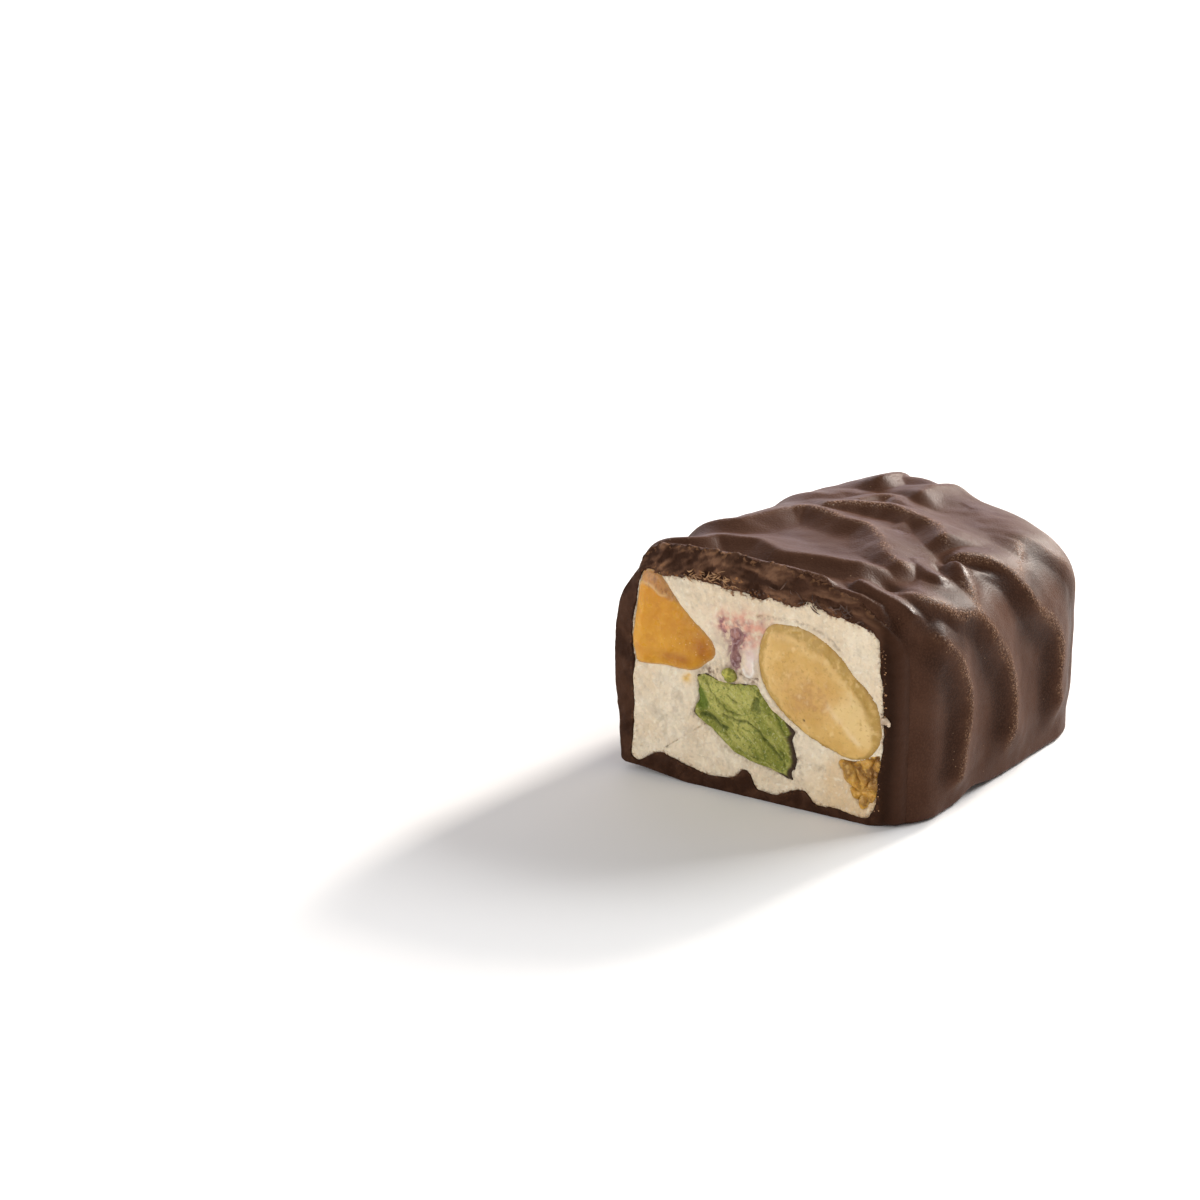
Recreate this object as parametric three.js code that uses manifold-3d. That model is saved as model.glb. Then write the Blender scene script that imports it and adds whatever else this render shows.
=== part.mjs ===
// A cut piece of a chocolate-coated nougat bar, in millimetres, +Z up.
// The cut face looks along -Y, the rounded end along +Y, and the origin is at the middle of the base.
// It is drawn with its cut at CUT_Y and moved to that origin at the end.
import * as THREE from "three";
import { mergeVertices } from "three/addons/utils/BufferGeometryUtils.js";
import Module from "manifold-3d";

const wasm = await Module();
wasm.setup();

// The block, under its ripples.
const LENGTH = 44;
const CUT_Y = -LENGTH / 2;
const END_Y = LENGTH / 2;
const HALF_WIDTH = 17.5;
const LEFT_HEIGHT = 24;
const RIGHT_HEIGHT = 22;
const CROWN = 1.4;
const PAST_CUT = 2; // how far the uncut shapes run past the cut
const UNDER = 0.8; // and how far the coating's shape runs below the base, before it is trimmed flat
const GAP = 0.3; // clearance between touching pieces

// The chocolate coating.
const LEFT_BELLY = { rise: 0.9, z: 12.5, spread: 6.5 };
const CUT_CORNER = { tuck: 1.5, run: 6 }; // the right wall turns in towards the cut
const FLUTE_FOOT = { height: 4, least: 0.45 }; // ripples die down towards the base
const HEART = { halfWidth: 10.5, back: END_Y - 10, top: 18 }; // the box that ripples stand away from
const FLANK_CURVE = 1.7; // over 1 makes a crest sharp and its flanks hollow
const CREST_NEAR = 1.5; // a crest path this far over or under the surface still counts as on it
const CREST_ROUND = 0.5;
const CREST_FADE = 0.12; // the share of a crest over which it dies down at each end
const FLANK = { steep: 0.62, gentle: 1.25, blend: 0.8 }; // its flanks' reach on both sides of the line

// Where the walls end and the rounded shoulder begins, in the grid box from -1 to 1.
const WALL_TOP = 0.5;
const CORNER_EASE = 0.15; // how much tighter the far corners turn where the shoulder draws in

const OUTSIDE = {
  left: -HALF_WIDTH,
  right: HALF_WIDTH,
  front: CUT_Y - PAST_CUT,
  back: END_Y - 0.7,
  cornerRadius: 10.2,
  leftShoulder: { atCut: { across: 5.4, down: 7 }, atEnd: { across: 7.4, down: 7.7 } },
  rightShoulder: { atCut: { across: 4.7, down: 5.6 }, atEnd: { across: 7.6, down: 5.2 } },
  endShoulder: 4,
  floor: () => -UNDER,
  roof: (x, y) =>
    THREE.MathUtils.mapLinear(x, -HALF_WIDTH, HALF_WIDTH, LEFT_HEIGHT, RIGHT_HEIGHT) +
    CROWN * (1 - (x / HALF_WIDTH) ** 2) * (1 - Math.max(y / END_Y, 0) ** 4),
};

// The nougat runs the whole length inside the coating. Its underside is dented by lumps of chocolate.
const LUMPS = [
  { x: -12, rise: 1.6, spread: 1.9 },
  { x: -1.9, rise: 1.5, spread: 0.8 },
  { x: 4.7, rise: 1.1, spread: 1.1 },
];
const NOUGAT_SHOULDER = { atCut: { across: 2.4, down: 2.8 }, atEnd: { across: 6, down: 6 } };
const NOUGAT_FLOOR = 1.1;
const NOUGAT_ROOF = { height: 21.9, tilt: -0.045, wave: 0.25, waveLength: 4.8, sink: 1, sinkRun: 8 };
const INSIDE = {
  left: -16,
  right: 14,
  front: CUT_Y - PAST_CUT,
  back: END_Y - 3.6,
  cornerRadius: 7.5,
  leftShoulder: NOUGAT_SHOULDER,
  rightShoulder: NOUGAT_SHOULDER,
  endShoulder: 6,
  floor: (x) => LUMPS.reduce((z, lump) => z + lump.rise * bell((x - lump.x) / lump.spread), NOUGAT_FLOOR),
  roof: (x, y) =>
    NOUGAT_ROOF.height +
    NOUGAT_ROOF.tilt * x +
    NOUGAT_ROOF.wave * Math.cos((2 * Math.PI * x) / NOUGAT_ROOF.waveLength + 1) -
    NOUGAT_ROOF.sink * THREE.MathUtils.smoothstep(y, CUT_Y, CUT_Y + NOUGAT_ROOF.sinkRun),
};

// Crests of the ripples that the blown chocolate set in: how far each stands out of the hollows
// beside it, how far down its flanks run, and where it lies on the block, as x, y, z. A flank is
// steeper on the right of its line, looked at along it from outside.
const CRESTS = [
  // along the top of the cut
  {
    rise: 1.4,
    reach: 3.4,
    path: [
      [-15.2, -22, 22.3], [-11.5, -22, 24.3], [-6, -22, 24.9], [-2, -22, 25], [2, -21.8, 24.9],
      [5.6, -21.6, 24.4], [9.6, -21.6, 23.6],
    ],
  },
  // the long crest behind the cut, up over the left shoulder
  {
    rise: 1.3,
    reach: 4.8,
    path: [
      [-17.5, -15, 6], [-17, -16.2, 16], [-15.2, -18, 22.5], [-11.9, -19, 25], [-9.9, -17.6, 26],
      [-9.2, -15.9, 26], [-6.9, -15.2, 26], [-5.2, -14.9, 26], [-3.2, -15.9, 26],
      [-1.1, -16.7, 26], [0.6, -16.4, 25.9], [2.9, -15.7, 25.7], [5.6, -15.1, 25.4],
      [7.6, -13.8, 25.2], [9.4, -12, 25], [11, -10.9, 24.6],
    ],
  },
  // by the corner of the cut
  {
    rise: 1.15,
    reach: 2.7,
    path: [
      [7.2, -17.6, 25], [9.4, -19, 24.7], [11.6, -19.9, 24.3], [13.6, -20.1, 23.7],
      [14.9, -19.8, 23.2], [15.8, -19.5, 22.5], [16.8, -19.3, 21.3],
    ],
  },
  {
    rise: 1.2,
    reach: 4.6,
    path: [
      [17, -18, 20.6], [17.6, -17.1, 19.8], [18, -15.5, 18.6], [18.4, -14, 17.1],
      [18.5, -12.8, 15.1], [18.5, -11.8, 13.1], [18.5, -11.3, 11], [18.5, -11.3, 9.5],
      [18.5, -11.4, 7.5], [18.5, -11.8, 6], [18.4, -12.4, 4.5], [18.2, -13.4, 3],
      [18, -14.4, 1.5],
    ],
  },
  // along the left shoulder and across the top
  {
    rise: 1.2,
    reach: 5.4,
    path: [
      [-17.5, -8, 3], [-17.3, -8.4, 14], [-15.7, -9.6, 21.5], [-13, -9.6, 24.8],
      [-10.9, -8.6, 25.8], [-10.2, -6.5, 25.9], [-9.4, -4.6, 25.9], [-8.7, -2.4, 26],
      [-7.4, -1, 26], [-5.6, -1.2, 26],
    ],
  },
  {
    rise: 1.25,
    reach: 5.4,
    path: [
      [-9.4, -4.6, 25.9], [-8.7, -2.4, 26], [-7.4, -1, 26], [-5.6, -1.2, 26], [-3.2, -1.8, 25.9],
      [-0.8, -2.4, 25.8], [1.2, -2.6, 25.7], [3.4, -4.1, 25.6], [5.8, -7, 25.3],
      [7.9, -9.1, 25.1], [9.8, -10.3, 24.8], [12.6, -10.4, 24.2],
    ],
  },
  // round the scoop on the right shoulder and down the wall
  {
    rise: 1.3,
    reach: 5.4,
    path: [
      [10.6, -14, 24.6], [12.6, -15, 24.2], [14.6, -15.6, 23.2], [15.8, -15, 22.4],
      [16.5, -13.8, 21.7], [17, -12, 21], [17.4, -10, 20.4], [17.7, -8.4, 19.8],
      [18.1, -7.5, 18.9], [18.5, -6.4, 17.1], [18.6, -4.7, 15.2], [18.6, -3.2, 13.6],
      [18.6, -1.9, 11.5], [18.6, -1.2, 9.6], [18.6, -1, 7.7], [18.6, -0.9, 5.7],
      [18.5, -1.3, 4.2], [18.3, -2.2, 1.5],
    ],
  },
  {
    rise: 0.8,
    reach: 2.8,
    path: [
      [17.8, -10.4, 20], [17.6, -8.6, 20.4], [17, -7.2, 21.2], [16, -6.6, 22.1],
      [14.4, -6.2, 23.1], [12.6, -5.6, 24],
    ],
  },
  // the next crest back, from the left shoulder round to the far end of the right wall
  {
    rise: 1.4,
    reach: 5,
    path: [
      [-7.6, -0.4, 26], [-5.9, 1.1, 26.1], [-4.4, 2.2, 26.1], [-2.5, 3.2, 26], [-0.6, 4.1, 25.9],
      [1.1, 3.9, 25.8], [3.4, 3.4, 25.7], [5.8, 2.7, 25.4], [7.4, 1.8, 25.2], [9.1, 0.1, 25],
      [10.8, -1.2, 24.7],
    ],
  },
  {
    rise: 1.4,
    reach: 4.8,
    path: [
      [9.6, -3.6, 24.8], [11.4, -3.4, 24.5], [12.8, -2.6, 24.1], [13.9, -0.7, 23.6],
      [14.8, 0.5, 23], [15.8, 1.3, 22.3], [16.7, 1.7, 21.4], [17.6, 2.3, 20], [18.3, 3, 18.5],
      [18.6, 4.6, 16.9], [18.6, 6.9, 15.4], [18.6, 8.8, 13.9], [18.6, 9.7, 11.8],
      [18.6, 9.7, 9.8], [18.6, 9.7, 7.8], [18.6, 10, 5.4], [18.5, 10.3, 2],
    ],
  },
  {
    rise: 0.6,
    reach: 3.4,
    path: [
      [2.4, 5.5, 25.5], [3, 2.6, 25.5], [3, -0.4, 25.5], [2.8, -4.6, 25.5],
    ],
  },
  {
    rise: 0.9,
    reach: 3.4,
    path: [
      [-4.2, 3.8, 25.9], [-4, 6.3, 25.9], [-3.5, 8.2, 25.9], [-2.2, 8.8, 25.9], [-0.9, 7.5, 25.8],
      [1.2, 6.2, 25.7], [2.6, 4.4, 25.6],
    ],
  },
  {
    rise: 0.4,
    reach: 4.2,
    path: [
      [-17.5, 8, 4], [-17.5, 7.4, 14], [-16, 6.4, 21.5], [-12.5, 6, 25], [-8.9, 6.9, 25.9],
      [-8, 8.5, 25.9], [-5.5, 9.4, 25.9], [-3.9, 10, 25.9], [-2.2, 9, 25.8],
    ],
  },
  // over the back
  {
    rise: 1.4,
    reach: 4.6,
    path: [
      [-1.8, 7.4, 25.8], [-0.6, 9.8, 25.8], [-0.3, 13, 25.5], [0.2, 16, 24.9], [1, 19.5, 21.5],
      [2, 21.6, 14], [2, 21.6, 1],
    ],
  },
  {
    rise: 1.2,
    reach: 4.5,
    path: [
      [-7, 16.2, 24], [-3.6, 16.8, 24], [0.3, 15.5, 24.9],
    ],
  },
  {
    rise: 1.6,
    reach: 5,
    path: [
      [-6.6, 9.6, 25.8], [-6.2, 13, 25.3], [-6.4, 17.5, 22.5], [-7.5, 21.2, 14], [-8.5, 21.4, 1],
    ],
  },
  {
    rise: 0.4,
    reach: 4.5,
    path: [
      [10.5, 8.5, 24], [14, 12, 20.5], [15.9, 15.5, 14.6], [15.9, 15.5, 2.6],
    ],
  },
];

// Pieces that show at the cut: the outline of each as x, z on the cut face, and how far it goes in.
const ALMOND = {
  depth: 7,
  outline: [
    [0.3, 18.9],
    [2.9, 19.7],
    [6.6, 19.1],
    [9.5, 17.1],
    [12.1, 14.5],
    [13.7, 12],
    [13.6, 9.2],
    [12, 6.9],
    [8.4, 7.1],
    [4.5, 8.7],
    [1.3, 11.05],
    [-0.5, 14.5],
    [-0.4, 17.2],
  ],
};
const PISTACHIO = {
  depth: 8,
  outline: [
    [-7.8, 12.1],
    [-5, 12.3],
    [-0.7, 12.5],
    [1.05, 10.5],
    [3.9, 8.3],
    [4.2, 5.5],
    [3.7, 3.3],
    [0, 3.7],
    [-3.4, 4.6],
    [-5.8, 6.4],
    [-8.2, 8.1],
    [-7.9, 10.5],
  ],
};
const ORANGE = {
  depth: 9,
  outline: [
    [-15.3, 21.7],
    [-12.6, 22],
    [-10.8, 20.5],
    [-8.2, 18],
    [-6, 16],
    [-5.9, 14.4],
    [-9.5, 12.4],
    [-12.5, 12.3],
    [-15.7, 12.4],
    [-16, 14.5],
    [-15.8, 18],
  ],
};
const BERRY = {
  depth: 3,
  outline: [
    [-3.9, 18.3],
    [-2.7, 18.1],
    [-2.5, 16],
    [-2.7, 14.2],
    [-3.4, 14],
    [-3.8, 16],
  ],
};
const BRITTLE = {
  depth: 6,
  outline: [
    [9.9, 6.3],
    [12, 7.1],
    [13.6, 7.6],
    [13.7, 5.5],
    [13.3, 3.2],
    [12.1, 1.9],
    [10.6, 3.6],
    [9.6, 5.2],
  ],
};
const PISTACHIO_CRUMB = {
  depth: 1.4,
  outline: [
    [-4.9, 13.4],
    [-4.2, 14],
    [-3.3, 13.8],
    [-3.1, 13.2],
    [-4, 12.9],
  ],
};

// How finely each surface is divided.
const OUTSIDE_GRID = { across: 26, along: 32, up: 15 };
const INSIDE_GRID = { across: 22, along: 9, up: 8 };
const PIECE_GRID = { round: 20, deep: 10 };
const CREST_SAMPLES = 48;
const TRIM_SIZE = 100;

/** 1 in the middle, falling smoothly to 0 on both sides. */
function bell(distance) {
  return Math.exp(-(distance ** 2));
}

/** Moves a point of the box from -1 to 1 onto the rounded block of the given form. */
function toBlock(point, form) {
  const { clamp, lerp, smoothstep } = THREE.MathUtils;
  const towardsEnd = smoothstep((point.y + 1) / 2, 0, 1);
  const shoulder = ({ atCut, atEnd }, size) => lerp(atCut[size], atEnd[size], towardsEnd);
  const leftAcross = shoulder(form.leftShoulder, "across");
  const rightAcross = shoulder(form.rightShoulder, "across");
  const turn = (clamp((point.z - WALL_TOP) / (1 - WALL_TOP), 0, 1) * Math.PI) / 2;
  const inset = 1 - Math.cos(turn);

  // The plan: a rectangle that shrinks over the shoulder, with its two far corners rounded.
  const left = form.left + leftAcross * inset;
  const right = form.right - rightAcross * inset;
  const halfX = (right - left) / 2;
  const middleX = (right + left) / 2;
  const back = form.back - form.endShoulder * inset;
  const halfY = (back - form.front) / 2;
  const planX = point.x * halfX;
  const planY = form.front + halfY * (1 + point.y);
  const radius = form.cornerRadius - CORNER_EASE * (leftAcross + rightAcross) * inset;
  const innerX = clamp(planX, radius - halfX, halfX - radius);
  const innerY = Math.min(planY, back - radius);
  const out = new THREE.Vector2(planX - innerX, planY - innerY);
  const far = Math.max(Math.abs(out.x), Math.abs(out.y));
  out.setLength(out.length() > 0 ? far : 0);
  const x = middleX + innerX + out.x;
  const y = innerY + out.y;

  // The height: straight walls, then the shoulder.
  const floor = form.floor(x);
  const height = form.roof(x, y) - floor;
  const fromLeft = (x - form.left) / (form.right - form.left);
  const down = lerp(shoulder(form.leftShoulder, "down"), shoulder(form.rightShoulder, "down"), fromLeft);
  const wall = height - down;
  const up = turn > 0 ? wall + down * Math.sin(turn) : (wall * (point.z + 1)) / (1 + WALL_TOP);
  point.set(x, y, floor + up);
}

/** A closed rounded block, as a grid box whose points have been moved. */
function blockGeometry(form, grid) {
  const box = new THREE.BoxGeometry(2, 2, 2, grid.across, grid.along, grid.up);
  return movePoints(withSharedPoints(box), (point) => toBlock(point, form));
}

/** The same geometry with nothing but positions, and each position once. */
function withSharedPoints(geometry) {
  geometry.deleteAttribute("normal");
  geometry.deleteAttribute("uv");
  return mergeVertices(geometry);
}

/** Changes each position of a geometry in place by a function of the point. */
function movePoints(geometry, move) {
  const positions = geometry.attributes.position;
  const point = new THREE.Vector3();
  for (let i = 0; i < positions.count; i++) {
    point.fromBufferAttribute(positions, i);
    move(point, i);
    positions.setXYZ(i, point.x, point.y, point.z);
  }
  return geometry;
}

/** Which way is out of the block at a point on or near its surface. */
function outward(point) {
  const heart = new THREE.Vector3(
    THREE.MathUtils.clamp(point.x, -HEART.halfWidth, HEART.halfWidth),
    Math.min(point.y, HEART.back),
    Math.min(point.z, HEART.top),
  );
  return point.clone().sub(heart).normalize();
}

/** Where a point lies beside a crest: how far, below 0 on its left, and at which share of its length. */
function besideCrest(point, normal, { points, headings }) {
  let nearest = { distance: Infinity };
  points.forEach((onCrest, i) => {
    const offset = point.clone().sub(onCrest);
    const over = offset.dot(normal);
    const across = Math.sqrt(Math.max(offset.lengthSq() - over ** 2, 0));
    const distance = Math.hypot(across, Math.max(Math.abs(over) - CREST_NEAR, 0));
    if (distance < nearest.distance) nearest = { distance, offset, i };
  });
  const right = headings[nearest.i].clone().cross(normal);
  const side = right.dot(nearest.offset) < 0 ? -nearest.distance : nearest.distance;
  return { side, share: nearest.i / CREST_SAMPLES };
}

/** The rise of the ripples at a point. */
function ripple(point, normal, crests) {
  const { smoothstep, lerp } = THREE.MathUtils;
  return crests.reduce((rise, crest) => {
    const { side, share } = besideCrest(point, normal, crest);
    const fade = smoothstep(share, 0, CREST_FADE) * smoothstep(1 - share, 0, CREST_FADE);
    const reach = crest.reach * lerp(FLANK.steep, FLANK.gentle, smoothstep(-side, -FLANK.blend, FLANK.blend));
    const distance = Math.hypot(side, CREST_ROUND) - CREST_ROUND;
    const flank = Math.max(1 - distance / reach, 0) ** FLANK_CURVE;
    return Math.max(rise, crest.rise * fade * flank);
  }, 0);
}

/** The chocolate's outer surface, as far as just past the cut. */
function coatingGeometry() {
  const crests = CRESTS.map(({ rise, reach, path }) => {
    const curve = new THREE.CatmullRomCurve3(path.map((at) => new THREE.Vector3(...at)));
    const points = curve.getSpacedPoints(CREST_SAMPLES);
    return { rise, reach, points, headings: points.map((_, i) => curve.getTangentAt(i / CREST_SAMPLES)) };
  });
  return movePoints(blockGeometry(OUTSIDE, OUTSIDE_GRID), (point) => {
    const { smoothstep } = THREE.MathUtils;
    const normal = outward(point);
    const fade = FLUTE_FOOT.least + (1 - FLUTE_FOOT.least) * smoothstep(point.z, 0, FLUTE_FOOT.height);
    const rise = fade * ripple(point, normal, crests);
    const left = Math.max(-normal.x, 0);
    const right = Math.max(normal.x, 0);
    const belly = LEFT_BELLY.rise * left * bell((point.z - LEFT_BELLY.z) / LEFT_BELLY.spread);
    const corner = CUT_CORNER.tuck * right * (1 - smoothstep(point.y, CUT_Y, CUT_Y + CUT_CORNER.run));
    point.addScaledVector(normal, rise + belly - corner);
  });
}

/** A piece of fruit or nut: its outline on the cut face, drawn in to a point at both ends of its depth. */
function pieceGeometry({ outline, depth }) {
  const corners = outline.map(([x, z]) => new THREE.Vector3(x, CUT_Y, z));
  const rim = new THREE.CatmullRomCurve3(corners, true).getSpacedPoints(PIECE_GRID.round);
  const centre = corners.reduce((sum, corner) => sum.add(corner), new THREE.Vector3());
  centre.divideScalar(corners.length);
  const ball = new THREE.SphereGeometry(1, PIECE_GRID.round, PIECE_GRID.deep);
  const uv = ball.attributes.uv;
  movePoints(ball, (point, i) => {
    const step = Math.round(uv.getX(i) * PIECE_GRID.round) + PIECE_GRID.round;
    const onRim = rim[step % PIECE_GRID.round];
    const width = Math.max(1 - point.y ** 2, 0) ** 0.4;
    const along = depth * point.y;
    point.lerpVectors(centre, onRim, width);
    point.y += along;
  });
  return withSharedPoints(ball);
}

/** The same closed geometry with every point moved out by a distance. */
function grown(geometry, distance) {
  const bigger = geometry.clone();
  bigger.computeVertexNormals();
  const normals = bigger.attributes.normal;
  movePoints(bigger, (point, i) => {
    point.addScaledVector(new THREE.Vector3().fromBufferAttribute(normals, i), distance);
  });
  bigger.deleteAttribute("normal");
  return bigger;
}

/** A geometry as a solid that can be cut and joined. */
function solidOf(geometry) {
  const vertProperties = new Float32Array(geometry.attributes.position.array);
  const triVerts = new Uint32Array(geometry.index.array);
  return new wasm.Manifold(new wasm.Mesh({ numProp: 3, vertProperties, triVerts }));
}

/** The solid without loose scraps that the cuts left. */
function largestBody(solid) {
  return solid.decompose().reduce((best, body) => (body.volume() > best.volume() ? body : best));
}

/** A named mesh of a solid, in its own finish. */
function meshOf(name, solid, finish) {
  const { vertProperties, triVerts } = solid.getMesh();
  const geometry = new THREE.BufferGeometry()
    .setAttribute("position", new THREE.BufferAttribute(vertProperties, 3))
    .setIndex(new THREE.BufferAttribute(triVerts, 1));
  geometry.computeVertexNormals();
  const mesh = new THREE.Mesh(geometry, new THREE.MeshStandardMaterial(finish));
  mesh.name = name;
  return mesh;
}

/** A cube large enough to trim the bar, with its middle at a point. */
function trimmer(x, y, z) {
  const box = withSharedPoints(new THREE.BoxGeometry(TRIM_SIZE, TRIM_SIZE, TRIM_SIZE));
  return solidOf(box.translate(x, y, z));
}

const cut = trimmer(0, CUT_Y - TRIM_SIZE / 2, 0);
const table = trimmer(0, 0, -TRIM_SIZE / 2);
const grownSolid = (geometry) => solidOf(grown(geometry, GAP));

const almondShape = pieceGeometry(ALMOND);
const besideAlmond = grownSolid(almondShape);
const almond = solidOf(almondShape).subtract(cut);
const pieces = { almond: { solid: almond, room: besideAlmond } };
for (const [name, form] of Object.entries({
  pistachio: PISTACHIO,
  candied_orange: ORANGE,
  berry: BERRY,
  brittle: BRITTLE,
  pistachio_crumb: PISTACHIO_CRUMB,
})) {
  const shape = pieceGeometry(form);
  const solid = largestBody(solidOf(shape).subtract(cut).subtract(besideAlmond));
  pieces[name] = { solid, room: grownSolid(shape) };
}

const coreShape = blockGeometry(INSIDE, INSIDE_GRID);
let nougat = solidOf(coreShape).subtract(cut);
for (const { room } of Object.values(pieces)) nougat = nougat.subtract(room);
const block = solidOf(coatingGeometry()).subtract(cut).subtract(table);
const coating = block.subtract(grownSolid(coreShape));

const FINISHES = {
  coating: { color: 0x3d241b, roughness: 0.45, metalness: 0 },
  nougat: { color: 0xe0d5c2, roughness: 0.85, metalness: 0 },
  almond: { color: 0xd9b972, roughness: 0.5, metalness: 0 },
  pistachio: { color: 0x76883f, roughness: 0.65, metalness: 0 },
  candied_orange: { color: 0xd08a2c, roughness: 0.35, metalness: 0 },
  berry: { color: 0x7a4a5e, roughness: 0.6, metalness: 0 },
  brittle: { color: 0xb07a26, roughness: 0.4, metalness: 0 },
  pistachio_crumb: { color: 0x9a9a3c, roughness: 0.6, metalness: 0 },
};

const bar = new THREE.Group();
bar.add(meshOf("coating", largestBody(coating), FINISHES.coating));
bar.add(meshOf("nougat", largestBody(nougat), FINISHES.nougat));
for (const [name, { solid }] of Object.entries(pieces)) {
  bar.add(meshOf(name, solid, FINISHES[name]));
}

// The origin goes to the middle of the base of the finished piece.
const middle = new THREE.Box3().setFromObject(bar).getCenter(new THREE.Vector3());
bar.position.set(-middle.x, -middle.y, 0);

export default bar;
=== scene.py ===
# A cut piece of a chocolate-coated nougat bar. Everything is drawn in millimetres with the cut face in
# the plane y = CUT_Y, looking along -Y, and is moved onto the frame, in metres, at the end.
import math
import random

import bmesh
import bpy
import numpy as np
from mathutils import Matrix, Vector, noise


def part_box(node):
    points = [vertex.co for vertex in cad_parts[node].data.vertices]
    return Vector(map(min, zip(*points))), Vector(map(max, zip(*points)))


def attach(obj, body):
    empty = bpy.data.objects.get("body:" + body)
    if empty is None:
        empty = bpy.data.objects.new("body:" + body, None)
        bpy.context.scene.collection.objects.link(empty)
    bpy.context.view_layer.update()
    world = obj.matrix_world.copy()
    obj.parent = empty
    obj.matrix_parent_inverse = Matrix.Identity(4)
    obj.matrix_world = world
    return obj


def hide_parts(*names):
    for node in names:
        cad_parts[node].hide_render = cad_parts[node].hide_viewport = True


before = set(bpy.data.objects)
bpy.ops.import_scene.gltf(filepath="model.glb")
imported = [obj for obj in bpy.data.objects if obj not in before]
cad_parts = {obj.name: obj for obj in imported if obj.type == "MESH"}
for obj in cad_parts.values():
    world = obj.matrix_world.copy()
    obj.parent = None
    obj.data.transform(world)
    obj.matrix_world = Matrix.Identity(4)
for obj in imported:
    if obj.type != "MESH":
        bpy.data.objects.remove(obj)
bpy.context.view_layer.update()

BODY = "root"
MM = 0.001

# The block, under its ripples. Its shoulders are drawn as if it began a little before the cut.
LENGTH = 44
CUT_Y = -LENGTH / 2
END_Y = LENGTH / 2
HALF_WIDTH = 17.5
LEFT_HEIGHT = 24
RIGHT_HEIGHT = 22
CROWN = 1.4
BEFORE_CUT = 2
WALL_TOP = 0.5
CORNER_EASE = 0.15

OUTSIDE = {
    "left": -HALF_WIDTH,
    "right": HALF_WIDTH,
    "back": END_Y - 0.7,
    "corner_radius": 10.2,
    "left_shoulder": {"cut": {"across": 5.4, "down": 7}, "end": {"across": 7.4, "down": 7.7}},
    "right_shoulder": {"cut": {"across": 4.7, "down": 5.6}, "end": {"across": 7.6, "down": 5.2}},
    "end_shoulder": 4,
}
LEFT_BELLY = {"rise": 0.9, "z": 12.5, "spread": 6.5}
CUT_CORNER = {"tuck": 1.5, "run": 6}
FLUTE_FOOT = {"height": 4, "least": 0.45}
HEART = {"half_width": 10.5, "back": END_Y - 10, "top": 18}
FOOT_ROUND = 0.6
FRONT_RUN = 5
LOW_EDGE = {"height": 5, "curl": 0.75, "arch": 0.7, "arch_y": -8, "arch_spread": 3}

# Random unevenness: the size of its features and how far it reaches.
DRIFT = {"size": 7, "by": 0.5}
TREMBLE = {"size": 1.8, "by": 0.06}
SWELL = {"size": 3.6, "by": 0.12}
PIMPLES = {"size": 0.9, "by": 0.008}

# Where the nougat begins on the left, which is where it does in the frame.
NOUGAT_LEFT = -16
nougat_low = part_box("nougat")[0]
SHIFT = np.array([nougat_low.x / MM - NOUGAT_LEFT, nougat_low.y / MM - CUT_Y, 0.0])

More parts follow.
